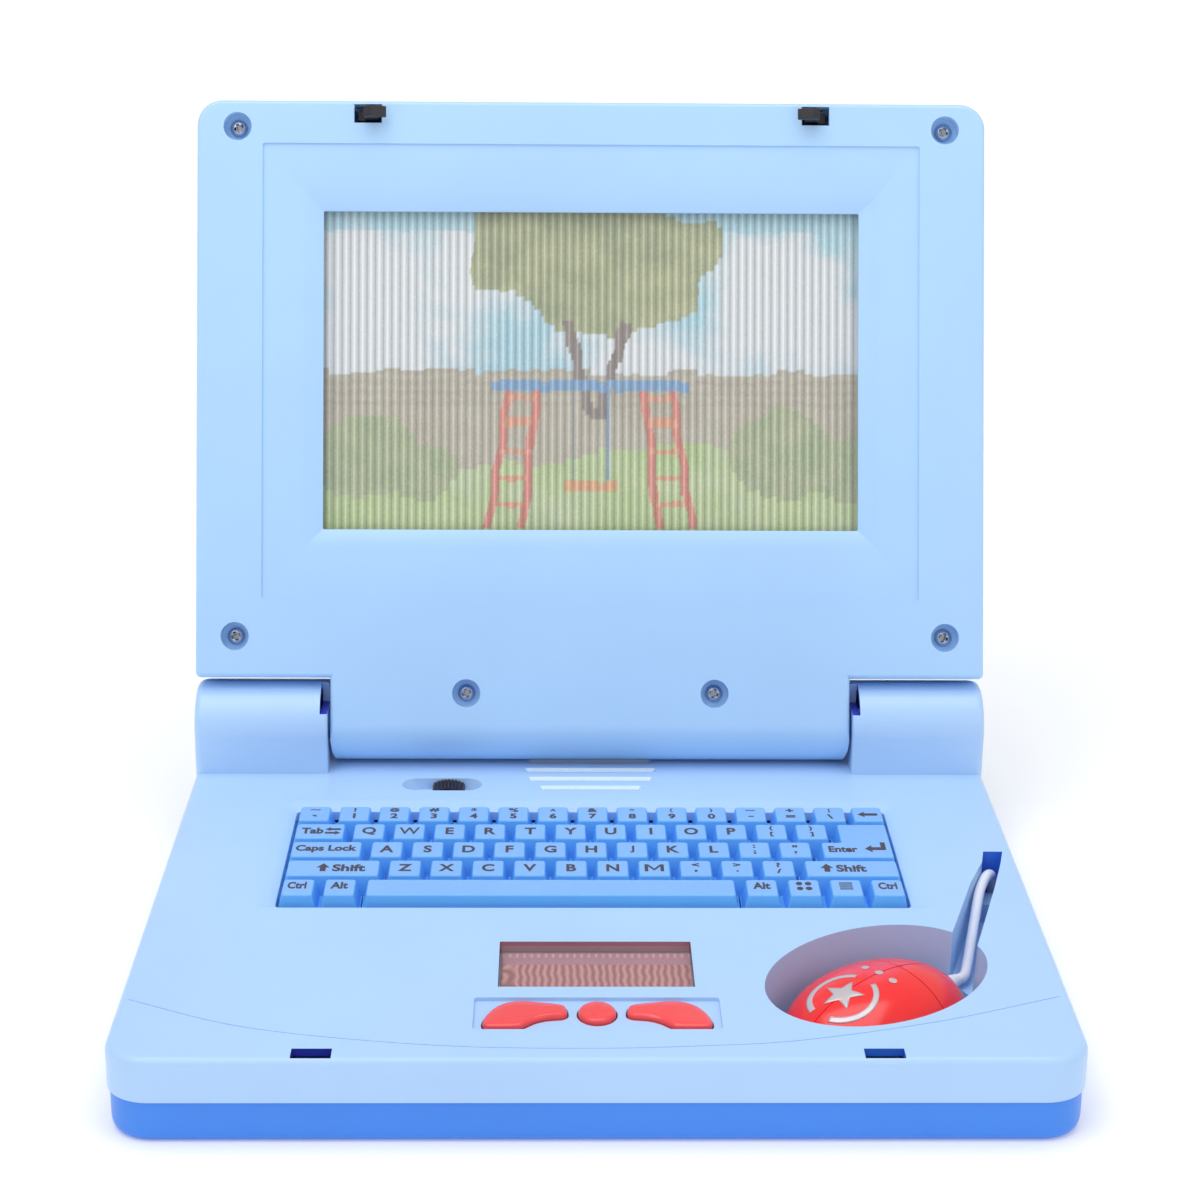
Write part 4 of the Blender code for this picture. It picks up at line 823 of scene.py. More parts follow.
def build_keys():
    key_piece("keys_number_row", "keys_strip_numbers", "key_strip_numbers", run_of(NUM_X, 14), 1, (-92.5, NUM_X + 13 * KEY_PITCH + 8.95 + 1.3), number_row)
    key_piece("keycap_backspace", "key_backspace_body", "key_backspace", [(80.1, 88.9)], 1, (78.9, 92.5),
              lambda lg, cy: lg.poly(ARROW_LEFT, 84.5, cy - 0.2, 0.95, 1.1))
    key_piece("keycap_tab", "key_tab_body", "key_tab", [(-88.8, -74.5)], 2, (-92.5, -73.15),
              lambda lg, cy: (lg.text("Tab", -83.9, cy + 0.2, 4.3, 6.6), lg.poly(ARROW_LEFT, -77.8, cy + 1.3, 0.72, 0.8),
                              lg.poly([(-p[0], p[1]) for p in reversed(ARROW_LEFT)], -77.8, cy - 1.3, 0.72, 0.8)))
    key_piece("keys_letter_row_q", "keys_strip_qwerty", "key_strip_qwerty", run_of(QW_X, 12), 2, (QW_X - 1.4, QW_X + 11 * KEY_PITCH + 8.95 + 1.35),
              letters(QW_X, list("QWERTYUIOP") + ["{[", "}]"]))
    key_piece("keycap_caps_lock", "key_caps_lock_body", "key_caps_lock", [(-88.8, -68.5)], 3, (-92.5, -67.05),
              lambda lg, cy: lg.text("Caps Lock", -78.7, cy + 0.2, 5.3, 18.0))
    key_piece("keys_letter_row_a", "keys_strip_asdf", "key_strip_asdf", run_of(AS_X, 11), 3, (AS_X - 1.4, AS_X + 10 * KEY_PITCH + 8.95 + 1.3),
              letters(AS_X, list("ASDFGHJKL") + [":;", "\"'"]))
    key_piece("keycap_shift_left", "key_shift_left_body", "key_shift_left", [(-88.8, -62.3)], 4, (-92.5, -60.95),
              lambda lg, cy: (lg.poly(ARROW_UP, -78.5, cy, 0.85, 1.15), lg.text("Shift", -71.0, cy, 4.7, 9.6)))
    key_piece("keys_letter_row_z", "keys_strip_zxcv", "key_strip_zxcv", run_of(ZX_X, 10), 4, (ZX_X - 1.4, ZX_X + 9 * KEY_PITCH + 8.95 + 1.35),
              letters(ZX_X, list("ZXCVBNM") + ["<,", ">.", "?/"]))
    key_piece("keycap_shift_right", "key_shift_right_body", "key_shift_right", [(62.2, 88.9)], 4, (60.7, 92.5),
              lambda lg, cy: (lg.poly(ARROW_UP, 68.3, cy, 0.85, 1.15), lg.text("Shift", 75.4, cy, 4.7, 8.8)))
    key_piece("keycaps_control_left", "keys_pair_lower_left", "key_pair_lower_left", [(-88.9, -80.2), (-76.9, -68.3)], 5, (-92.5, -66.75),
              lambda lg, cy: (lg.text("Ctrl", -84.9, cy + 1.2, 4.4, 5.4), lg.text("Alt", -72.8, cy + 1.2, 4.4, 5.0)))
    key_piece("keycap_space", "key_space_body", "key_space", [(-64.8, 40.5)], 5, (-66.4, 42.1))

    def lower_right(lg, cy):
        lg.text("Alt", 48.3, cy + 1.2, 4.4, 5.0)
        for a in (-1, 1):
            for b in (-1, 1):
                lg.poly(circle(0, 0, 0.95, 1.15, 10), 60.5 + 1.3 * a, cy + 1.0 + 1.6 * b)
        for k in range(4):
            lg.poly([(-1.9, -0.32), (1.9, -0.32), (1.9, 0.32), (-1.9, 0.32)], 72.6, cy - 0.9 + 1.3 * k)
        lg.text("Ctrl", 84.6, cy + 1.2, 4.4, 5.4)
    key_piece("keycaps_control_right", "keys_group_lower_right", "key_group_lower_right", [(44.0, 52.7), (56.2, 64.9), (68.3, 77.0), (80.2, 88.9)], 5, (42.5, 92.5), lower_right)
    y2, y3 = row_front(2), row_front(3)
    ob = make("keycap_enter", [box(66.9, 92.5, y3 - 1.1, y3 + KEY_DEPTH + 1.1, 17.0, 18.4)], M_KEY)
    apply_tool(ob, [box(72.9, 92.5, y3 + KEY_DEPTH, y2 + KEY_DEPTH + 1.1, 17.0, 18.4)], "UNION")

    def ell(d, z, r):
        """Outline of the Enter cap grown by d: row 3 is wider than row 2."""
        base = [(68.4 - d, y3 - d), (88.9 + d, y3 - d), (88.9 + d, y2 + KEY_DEPTH + d), (74.4 - d, y2 + KEY_DEPTH + d), (74.4 - d, y3 + KEY_DEPTH + d), (68.4 - d, y3 + KEY_DEPTH + d)]
        out = []
        for i, p in enumerate(base):
            a, b = Vector(base[i - 1]), Vector(base[(i + 1) % 6])
            p = Vector(p)
            pa, pb = p + (a - p).normalized() * r, p + (b - p).normalized() * r
            for t in (0.0, 0.33, 0.67, 1.0):
                q = (1 - t) ** 2 * pa + 2 * t * (1 - t) * p + t * t * pb
                out.append((q.x, q.y, z))
        return out
    rings = [ell(1.1, 18.2, 0.6), ell(0.1, KEY_TOP_Z - 0.5, 0.85)]
    for k in range(1, 5):
        a = math.pi / 2 * k / 4
        rings.append(ell(0.06 - 0.45 * (1 - math.cos(a)), KEY_TOP_Z - 0.5 + 0.5 * math.sin(a), 0.85))
    rings.append(ell(-0.85, KEY_TOP_Z - 0.03, 0.8))
    apply_tool(ob, [loft(rings)], "UNION")
    settle(ob, 0.0)
    # painted sheen: the upward faces of the key top get the lighter copy of the key plastic
    tint(ob, M_KEYTOP_SHEEN, lambda c, n: n.z > 0.93 and c.z > KEY_TOP_Z - 0.6)
    stand_for(ob, "key_enter_body", "key_enter", slot="key_blue_plastic")
    lg = Legends()
    lg.text("Enter", 74.4, y3 + 5.6, 4.2, 8.6)
    lg.poly(ARROW_ENTER, 84.0, y3 + 6.8, 0.95, 1.5)
    lg.piece("keycap_enter_legends", "key_enter_body", KEY_TOP_Z - 0.03)


# ================================================================== red buttons, switch knob
def build_buttons():
    for tag, outline in BUTTONS:
        rings = [flat(offset(outline, 1.5), 19.2), flat(offset(outline, 1.5), 20.4), flat(offset(outline, 0.35), 20.42), flat(offset(outline, 0.35), 23.2)]
        for d, z in ((0.32, 23.5), (0.2, 23.85), (0.0, 24.08)):
            rings.append(flat(offset(outline, d), z))
        cx = sum(p[0] for p in outline) / len(outline)
        cy = sum(p[1] for p in outline) / len(outline)
        for q, z in ((0.955, 24.24), (0.89, 24.38), (0.80, 24.48), (0.66, 24.57), (0.48, 24.63), (0.25, 24.67)):
            rings.append([(cx + (p[0] - cx) * q, cy + (p[1] - cy) * q, z) for p in outline])
        ob = make("push_button_" + tag, [loft(rings)], M_REDKEY)
        settle(ob, 0.0, smooth=50)
        stand_for(ob, "button_" + tag, "red_button_" + tag, slot="red_plastic")


KNOB_X = -44.55


def build_knob():
    prof = [(KNOB_X - 5.05, 20.7), (KNOB_X + 5.05, 20.7)]
    n = 9
    for k in range(n * 8 + 1):
        u = 1 - 2 * k / (n * 8)
        x = KNOB_X + 5.05 * u
        crown = 21.6 + 2.6 * math.sqrt(max(0.0, 1 - 0.82 * u * u))
        prof.append((x, crown - 0.42 * (1 - abs(math.sin(math.pi * k / 8)))))
    ob = make("switch_slider", [prism(prof, 171.2, 178.4, "Y")], M_KNOB)
    apply_tool(ob, [box(KNOB_X - 1.5, KNOB_X + 1.5, 173.9, 176.1, 16.1, 21.2)], "UNION")
    apply_tool(ob, [prism([(171.2 + 1.2 * k - 0.22, 25.6), (171.2 + 1.2 * k, 23.0), (171.2 + 1.2 * k + 0.22, 25.6)], KNOB_X - 6, KNOB_X + 6, "X") for k in range(1, 6)])
    settle(ob, 0.08, 1, 40.0, 30.0)
    stand_for(ob, "power_switch", "power_switch_knob", slot="black_plastic")


# ================================================================== screws
def screw(name, body, cad, frame_, x, y, rings, cross_z, cross_dir, arm=1.75, width=0.55, turn=0.3):
    """Pan-head screw with a cross recess; rings is the (radius, height) profile."""
    ob = make(name, [lathe(rings, x, y, 28)], M_STEEL, frame_)
    c, s = math.cos(turn), math.sin(turn)
    tools = []
    for ux, uy in ((c, s), (-s, c)):
        top = [(x + ux * a - uy * b, y + uy * a + ux * b) for a, b in ((-arm, -width), (arm, -width), (arm, width), (-arm, width))]
        bot = [(x + ux * a * 0.55 - uy * b, y + uy * a * 0.55 + ux * b) for a, b in ((-arm, -width * 0.6), (arm, -width * 0.6), (arm, width * 0.6), (-arm, width * 0.6))]
        z0, z1 = cross_z + 0.3 * cross_dir, cross_z - 1.1 * cross_dir
        lo, hi = (bot, top) if z0 > z1 else (top, bot)
        tools.append(loft([[(p[0], p[1], min(z0, z1)) for p in lo], [(p[0], p[1], max(z0, z1)) for p in hi]]))
    for t in tools:
        apply_tool(ob, [t], "DIFFERENCE", frame_)
    settle(ob, 0.0, smooth=32)
    stand_for(ob, body, cad, slot="zinc_steel")
    return ob


def build_screws():
    for k, ((x, t), tag) in enumerate(zip(SCREWS_LID, ("top_left", "top_right", "mid_left", "mid_right", "barrel_left", "barrel_right"))):
        prof = [(0, -3.05), (1.0, -3.08), (1.7, -3.2), (2.25, -3.5), (2.6, -3.95), (2.7, -4.3), (2.7, -4.7), (1.3, -4.7), (1.3, -15.5), (0, -16.6)]
        screw("lid_fastener_" + tag, "lid", "lid_screw_" + tag, LID, x, t, prof, -3.05, 1, turn=0.35 + 0.8 * k)
    for k, ((x, y), tag) in enumerate(zip(SCREWS_BASE, ("front_left", "front_right", "rear_left", "rear_right"))):
        prof = [(0, 0.72), (1.0, 0.75), (1.8, 0.9), (2.4, 1.25), (2.7, 1.7), (2.7, 2.3), (1.2, 2.3), (1.2, 13.5), (0, 14.5)]
        screw("base_fastener_" + tag, "base", "base_screw_" + tag, BASE, x, y, prof, 0.72, -1, turn=0.2 + 0.9 * k)
    prof = [(0, 0.27), (0.9, 0.29), (1.6, 0.4), (2.05, 0.6), (2.05, 0.75), (0.95, 0.75), (0.95, 5.0), (0, 5.4)]
    ob = make("door_fastener", [lathe(prof, -48.9, 44.0, 28)], M_STEEL)
    for ux, uy in ((1, 0), (0, 1)):
        apply_tool(ob, [box(-48.9 - 1.2 * ux - 0.25 * uy, -48.9 + 1.2 * ux + 0.25 * uy, 44 - 1.2 * uy - 0.25 * ux, 44 + 1.2 * uy + 0.25 * ux, 0.0, 0.62)])
    settle(ob, 0.0, smooth=32)
    stand_for(ob, "battery_door", "battery_door_screw", slot="zinc_steel")



# ================================================================== printed cards
def painted_grid(name, frame_, x0, x1, y0, y1, z0, z1, nx, ny, colour, mat, attr="picture"):
    """Thin card with a fine grid on its face, coloured per corner by a formula of (u, v) in 0..1."""
    bm = bmesh.new()
    grid = [[bm.verts.new(frame_ @ Vector((x0 + (x1 - x0) * i / nx, y0 + (y1 - y0) * j / ny, z1))) for i in range(nx + 1)] for j in range(ny + 1)]
    for j in range(ny):
        for i in range(nx):
            bm.faces.new((grid[j][i], grid[j][i + 1], grid[j + 1][i + 1], grid[j + 1][i]))
    edge = ([grid[0][i] for i in range(nx + 1)] + [grid[j][nx] for j in range(1, ny + 1)] + [grid[ny][i] for i in range(nx - 1, -1, -1)]
            + [grid[j][0] for j in range(ny - 1, 0, -1)])
    drop = (frame_ @ Vector((0, 0, z0))) - (frame_ @ Vector((0, 0, z1)))
    low = [bm.verts.new(v.co + drop) for v in edge]
    n = len(edge)
    for i in range(n):
        bm.faces.new((edge[i], low[i], low[(i + 1) % n], edge[(i + 1) % n]))
    bm.faces.new(low)
    bmesh.ops.recalc_face_normals(bm, faces=bm.faces[:])
    me = bpy.data.meshes.new(name)
    bm.verts.index_update()
    bm.to_mesh(me)
    bm.free()
    ca = me.color_attributes.new(attr, "FLOAT_COLOR", "POINT")
    data = []
    count = (nx + 1) * (ny + 1)
    for k in range(len(me.vertices)):
        if k < count:
            i, j = k % (nx + 1), k // (nx + 1)
            data += [*colour(i / nx, j / ny), 1.0]
        else:
            data += [0.7, 0.7, 0.7, 1.0]
    ca.data.foreach_set("color", data)
    me.materials.append(mat)
    ob = bpy.data.objects.new(name, me)
    scene.collection.objects.link(ob)
    return ob


def mix(a, b, t):
    t = min(max(t, 0.0), 1.0)
    return tuple(p + (q - p) * t for p, q in zip(a, b))


def fbm(x, y, seed=0.0, octaves=4):
    v, amp, f = 0.0, 0.5, 1.0
    for _ in range(octaves):
        v += amp * noise.noise((x * f, y * f, seed))
        amp *= 0.5
        f *= 2.03
    return v


def playground(u, v):
    """A plain park scene seen through a ribbed lens: sky, clouds, a tree, a wall, grass and a swing frame, with each
    rib's painted highlight and painted shade.
    """
    rib = u * 66.0
    col = int(rib)
    slip = (noise.noise((col * 0.37, 3.1, 0.0)) * 0.006 + noise.noise((col * 1.9, v * 9.0, 0.0)) * 0.008)
    uu = (col + 0.5 + 0.55 * ((rib - col) - 0.5)) / 66.0
    vv = v + slip
    step = round(vv * 62) / 62.0
    x, y = (uu - 0.5) * 1.68, step
    sky = mix((0.33, 0.62, 0.74), (0.42, 0.72, 0.80), y)
    cloud = fbm(x * 2.3 + 4.0, y * 2.9 + 1.0, 5.0)
    c = mix(sky, (0.80, 0.83, 0.84), (cloud + 0.20) * 4.0 - (0.9 if y > 0.93 else 0.0) * 1.2)
    wall_top = 0.50 + 0.008 * noise.noise((x * 3, 0, 2))
    if y < wall_top:
        c = mix((0.56, 0.50, 0.36), (0.46, 0.39, 0.26), fbm(x * 7, y * 9, 8.0) + 0.5)
        if (y * 30) % 1.0 < 0.12:
            c = mix(c, (0.36, 0.30, 0.20), 0.35)
    hill = 0.225 + 0.05 * math.sin(x * 3.1 + 0.6) + 0.03 * noise.noise((x * 5, 1.0, 3.0))
    if y < hill:
        c = mix((0.42, 0.58, 0.16), (0.58, 0.68, 0.28), fbm(x * 6, y * 10, 1.0) + 0.5)
        c = mix(c, (0.66, 0.68, 0.52), max(0.0, fbm(x * 3.0, y * 4, 12.0)) * 1.6)
    # bushes at both sides
    for bx, by, br in ((-0.70, 0.24, 0.15), (-0.52, 0.20, 0.10), (0.60, 0.25, 0.16), (0.78, 0.20, 0.12)):
        d = math.hypot((x - bx) * 0.9, (y - by) * 1.2)
        if d < br * (1 + 0.35 * noise.noise((x * 9, y * 9, 7.0))):
            c = mix((0.30, 0.40, 0.15), (0.48, 0.50, 0.24), fbm(x * 14, y * 14, 4.0) + 0.5)
    # tree crown and trunk
    crown = math.hypot(x * 0.84, (y - 0.86) * 1.35)
    if crown < 0.315 * (1 + 0.30 * noise.noise((x * 6.5, y * 6.5, 9.0))) and y > 0.58:
        c = mix((0.26, 0.31, 0.10), (0.46, 0.48, 0.20), fbm(x * 9, y * 11, 6.0) * 1.4 + 0.55)
    trunk = 0.028 + 0.05 * max(0.0, y - 0.52)
    if 0.36 < y < 0.66 and (abs(x + 0.02 + 0.26 * (y - 0.45)) < trunk * 0.6 or abs(x - 0.05 - 0.30 * (y - 0.45)) < trunk * 0.6):
        c = (0.22, 0.15, 0.11)
    # swing frame: two red ladders, blue rail and an orange seat
    for sx in (-1, 1):
        px = sx * (0.17 + 0.10 * (0.42 - y)) - 0.0
        for q in (0.0, 0.085 + 0.05 * (0.42 - y)):
            if 0.03 < y < 0.44 and abs(x - px - sx * q) < 0.013:
                c = (0.74, 0.16, 0.08)
        if 0.05 < y < 0.42 and sx * (x - px) > 0 and abs(x - px) < 0.09 and (y * 12) % 1.0 < 0.28:
            c = (0.80, 0.30, 0.12)
    if 0.445 < y < 0.475 and abs(x) < 0.30:
        c = (0.12, 0.34, 0.62)
    if abs(abs(x) - 0.055) < 0.006 and 0.16 < y < 0.45:
        c = (0.16, 0.32, 0.52)
    if 0.13 < y < 0.17 and abs(x) < 0.085:
        c = (0.82, 0.36, 0.10)
    # painted highlight and painted shade of the lens ribs: a bright crown and a dark root to each rib, with a pale
    # painted sheen on the crown
    f = rib - col
    shade = 0.74 + 0.42 * math.exp(-((f - 0.30) / 0.13) ** 2) - 0.34 * math.exp(-((f - 0.86) / 0.11) ** 2)
    c = tuple(min(1.0, p * shade) for p in c)
    c = mix(c, (0.86, 0.88, 0.86), 0.12 + 0.25 * math.exp(-((f - 0.30) / 0.07) ** 2))
    return c


def moire(u, v):
    """Brown card with close wavy upright stripes, as a fine print looks under a lens."""
    x, y = u * 52.0, v * 26.0
    bend = 0.42 * noise.noise((x * 0.10, y * 0.10, 1.0)) + 0.22 * noise.noise((x * 0.35, y * 0.22, 4.0))
    left = max(0.0, 1 - x / 4.0)
    ring = math.hypot((x + 1.0) * 0.8, (y - 10.0) * 0.5)
    phase = (x / 1.98 + bend * 0.6) * (1 - left) + ring * 0.8 * left
    s = 0.5 + 0.5 * math.sin(2 * math.pi * phase + 0.5 * math.sin(y * 0.9 + x * 0.2))
    c = mix((0.265, 0.085, 0.085), (0.58, 0.27, 0.25), s ** 1.1)
    if y > 17.6:      # a plain mauve band, then a row of short dashes along the back edge
        g = 0.5 + 0.5 * noise.noise((x * 2.6, y * 2.6, 7.0))
        band = mix((0.33, 0.15, 0.20), (0.44, 0.22, 0.28), g)
        if y > 21.8:
            d = max(0.0, math.sin(2 * math.pi * x / 1.98)) * max(0.0, 1 - abs(y - 23.4) / 1.8)
            band = mix(band, (0.62, 0.36, 0.38), min(1.0, d * 1.3))
        c = mix(c, band, min(1.0, (y - 17.6) / 0.7))
    # painted shadow along the back edge, where the recess wall shades the card
    if y > 24.6:
        c = mix(c, (0.10, 0.04, 0.05), (y - 24.6) / 0.8)
    if x < 1.0:
        c = mix(c, (0.16, 0.07, 0.07), 1 - x)
    return c


def build_cards():
    ob = painted_grid("picture_print", LID, -86.8, 86.8, 45.2, 149.8, -7.1, -6.5, 66 * 6, 150, playground, M_CARD)
    stand_for(ob, "lid", "screen_picture_card", slot="printed_card")
    ob = painted_grid("trackpad_print", BASE, -25.7, 25.7, 39.6, 65.2, 20.7, 21.2, 208, 104, moire, M_BROWN)
    stand_for(ob, "base", "trackpad_picture_card", slot="brown_card")
    # ribbed lens: 66 upright half-round ribs on its face
    prof = [(-87.5, -6.2), (87.5, -6.2), (87.5, -4.75), (85.8, -4.75)]
    n = 66
    for k in range(n * 6 + 1):
        f = k / 6.0
        x = 85.8 - 2.6 * f
        prof.append((x, -4.72 + 0.30 * abs(math.sin(math.pi * f)) ** 0.8))
    prof += [(-85.8, -4.75), (-87.5, -4.75)]
    ob = make("ribbed_lens", [prism(prof, 44.5, 150.5, "Y")], M_LENS, LID)
    ob.data.shade_smooth()
    ob.data.set_sharp_from_angle(angle=math.radians(50))
    stand_for(ob, "lid", "screen_lens", slot="clear_lens")
    ob = make("trackpad_cover_lens", [loft([flat(rrect(-25.8, 25.8, 39.5, 65.3, 0.3, 3), 21.5), flat(rrect(-25.8, 25.8, 39.5, 65.3, 0.3, 3), 22.7),
                                            flat(rrect(-25.6, 25.6, 39.7, 65.1, 0.3, 3), 22.9)])], M_PAD)
    settle(ob, 0.0)
    stand_for(ob, "base", "trackpad_lens", slot="clear_lens")


# ================================================================== mouse and its cord
MZ = 9.6
MH = MOUSE_TOP - MZ
CROSS_X = 8.3


def mouse_ring(shrink, el, n=72):
    a, b, h = MOUSE_A - shrink, MOUSE_B - shrink, MH - shrink
    ce, se = math.cos(el), math.sin(el)
    return [(a * ce * math.cos(u), b * ce * math.sin(u), MZ + h * se) for u in (2 * math.pi * k / n for k in range(n))]


def dome(shrink, z0, start, steps=16):
    rings = [[(p[0], p[1], z0) for p in mouse_ring(shrink, start)]]
    for k in range(0, steps):
        rings.append(mouse_ring(shrink, start + (math.radians(88.5) - start) * k / (steps - 1)))
    return loft(rings)


def on_dome(x, y, lift=0.05):
    k = 1 - (x / MOUSE_A) ** 2 - (y / MOUSE_B) ** 2
    return (x, y, MZ + MH * math.sqrt(max(k, 0.0)) + lift)


def mouse_slot(half, sink):
    """Ring of a thin vertical blade along the mouse's back, from 1.0 above to 0.35 under the surface; sink only picks
    the side: 0 gives +half, any other value -half.
    """
    upper, lower = [], []
    for k in range(25):
        x = -28.0 + (CROSS_X + 0.5 + 28.0) * k / 24
        z = on_dome(min(x, 28.5), 0.0, 0.0)[2]
        upper.append((x, half if sink == 0.0 else -half, z + 1.0))
        lower.append((x, half if sink == 0.0 else -half, z - 0.35))
    return upper + list(reversed(lower))


def build_mouse():
    top = make("mouse_back_cover", [dome(0.0, MZ + 0.4, 0.04)], M_RED, MOUSE)
    apply_tool(top, [dome(1.6, MZ - 1.0, 0.0)], "DIFFERENCE", MOUSE)
    apply_tool(top, [box(CROSS_X, 40, -40, 40, 12.2, 30)], "DIFFERENCE", MOUSE)
    # the fine moulded line along the back
    apply_tool(top, [loft([mouse_slot(0.16, 0.0), mouse_slot(0.16, 0.45)])], "DIFFERENCE", MOUSE)
    settle(top, 0.12, 2, 34.0, 34.0)
    stand_for(top, "mouse", "mouse_top_shell", slot="red_plastic")
    for tag, side in (("left", 1), ("right", -1)):
        ob = make("mouse_click_" + tag, [dome(0.0, MZ + 0.4, 0.04)], M_RED, MOUSE)
        apply_tool(ob, [dome(1.6, MZ - 1.0, 0.0)], "DIFFERENCE", MOUSE)
        lo, hi = sorted((0.17 * side, 40 * side))
        apply_tool(ob, [box(CROSS_X + 0.32, 40, lo, hi, 13.2, 30)], "INTERSECT", MOUSE)
        settle(ob, 0.16, 2, 34.0, 34.0)
        stand_for(ob, "mouse_%s_click" % tag, "mouse_button_" + tag, slot="red_plastic")
    low = make("mouse_underside", [loft([[(p[0] * q, p[1] * q, z) for p in mouse_ring(0.0, 0.0)]
                                         for q, z in ((0.86, 5.3), (0.90, 5.4), (0.93, 5.8), (0.965, 6.8), (0.99, 8.0), (1.0, 9.0), (1.0, MZ + 0.1))])], M_RED, MOUSE)
    apply_tool(low, [loft([[(p[0] * q, p[1] * q, z) for p in mouse_ring(1.8, 0.0)] for q, z in ((0.93, 7.0), (1.0, 12.0))])], "DIFFERENCE", MOUSE)
    settle(low, 0.0, smooth=40)
    stand_for(low, "mouse", "mouse_bottom_shell", slot="red_plastic")
    # plain silver print on the tail half: a five-pointed star inside a broken ring, with three dots
    film = bmesh.new()

    def film_poly(pts):
        """Polygon laid on the dome as fine triangles that follow it."""
        me_pts = [Vector((p[0], p[1], 0)) for p in pts]
        vs = [film.verts.new(p) for p in me_pts]
        f = film.faces.new(vs)
        res = bmesh.ops.triangulate(film, faces=[f])
        bmesh.ops.subdivide_edges(film, edges=list({e for t in res["faces"] for e in t.edges}), cuts=3, use_grid_fill=True)
    star = []
    for k in range(10):
        r = 6.2 if k % 2 == 0 else 2.7
        a = math.radians(90 + 36 * k)
        star.append((-13.2 + r * math.cos(a) * 0.95, r * math.sin(a) * 0.95))
    film_poly(star)
    for a0, a1 in ((20, 160), (200, 340)):
        outer = [(-13.2 + 9.6 * math.cos(math.radians(a)), 9.6 * math.sin(math.radians(a))) for a in range(a0, a1 + 1, 10)]
        inner = [(-13.2 + 8.0 * math.cos(math.radians(a)), 8.0 * math.sin(math.radians(a))) for a in range(a1, a0 - 1, -10)]
        n = len(outer)
        for k in range(n - 1):
            film_poly([outer[k], outer[k + 1], inner[n - 2 - k], inner[n - 1 - k]])
    for y in (-5.0, 0.0, 5.0):
        film_poly(circle(0.8, y, 1.15, 1.15, 14))
    bmesh.ops.remove_doubles(film, verts=film.verts[:], dist=0.01)
    for v in film.verts:
        v.co = MOUSE @ Vector(on_dome(v.co.x, v.co.y, 0.06))
    bmesh.ops.recalc_face_normals(film, faces=film.faces[:])
    me = bpy.data.meshes.new("mouse_print")
    film.to_mesh(me)
    film.free()
    me.materials.append(M_SILVER)
    me.shade_smooth()
    ob = bpy.data.objects.new("mouse_print", me)
    scene.collection.objects.link(ob)
    solid = ob.modifiers.new("film", "SOLIDIFY")
    solid.thickness = 0.05 * MM
    solid.offset = 1.0
    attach(ob, "mouse")
    # strain relief
    prof = [(29.2, 2.2), (30.0, 2.25), (30.5, 2.1), (31.0, 2.15), (31.5, 1.95), (32.0, 2.0), (32.5, 1.82), (33.2, 1.75)]
    v, f = lathe([(0, prof[0][0])] + [(r, x) for x, r in prof] + [(0, prof[-1][0])], 0, 0, 28)
    pts = []
    for p in v:
        x, y, z = p[2], p[0], p[1] + RELIEF_Z
        if p[2] < prof[0][0] + 0.01:      # the foot of the sleeve follows the mouse's surface with a hair of clearance
            x = MOUSE_A * math.sqrt(max(0.0, 1 - ((z - MZ) / MH) ** 2 - (y / MOUSE_B) ** 2)) + 0.12
            x = min(x, prof[0][0])
        pts.append((x, y, z))
    ob = make("cord_sleeve", [(pts, f)], M_CORD, MOUSE)
    settle(ob, 0.0, smooth=50)
    stand_for(ob, "mouse", "mouse_strain_relief", slot="white_cord")


def build_cord():
    nose = MOUSE @ Vector((33.5, 0, RELIEF_Z))
    nb = (nose.x / MM, nose.y / MM - FRONT_Y, nose.z / MM)
    ux, uy = math.cos(MOUSE_ANGLE), math.sin(MOUSE_ANGLE)
    ctrl = [nb, (nb[0] + 3.0 * ux, nb[1] + 3.0 * uy, nb[2] + 0.3), (104.5, 76.0, 12.6), (106.4, 83.4, 14.6),
            (109.2, 94.6, 17.0), (112.3, 107.0, 19.2), (115.2, 114.8, 20.2), (117.5, 119.3, 19.0), (118.5, 121.2, 15.0),
            (118.5, 121.2, 9.0), (118.5, 121.2, 4.6)]
    path = [BASE @ Vector(p) for p in catmull(ctrl, 0.9)]
    r = 1.5 * MM
    n = 20
    bm = bmesh.new()
    rings = []
    up = Vector((0, 0, 1))
    for i, p in enumerate(path):
        t = (path[min(i + 1, len(path) - 1)] - path[max(i - 1, 0)]).normalized()
        side = t.cross(up)
        if side.length < 1e-3:
            side = Vector((1, 0, 0))
        side.normalize()
        if i and side.dot(last_side) < 0:
            side = -side
        side = (side - t * side.dot(t)).normalized()
        if i:
            side = (last_side - t * last_side.dot(t)).normalized()
        last_side = side
        other = t.cross(side)
        rings.append([bm.verts.new(p + r * (math.cos(a) * side + math.sin(a) * other)) for a in (2 * math.pi * k / n for k in range(n))])
    for a, b in zip(rings, rings[1:]):
        for k in range(n):
            j = (k + 1) % n
            bm.faces.new((a[k], a[j], b[j], b[k]))
    bm.faces.new(list(reversed(rings[0])))
    bm.faces.new(rings[-1])
    bmesh.ops.recalc_face_normals(bm, faces=bm.faces[:])
    me = bpy.data.meshes.new("mouse_lead")
    bm.to_mesh(me)
    bm.free()
    me.materials.append(M_CORD)
    me.shade_smooth()
    ob = bpy.data.objects.new("mouse_lead", me)
    scene.collection.objects.link(ob)
    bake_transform(ob)
    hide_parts("mouse_cord")


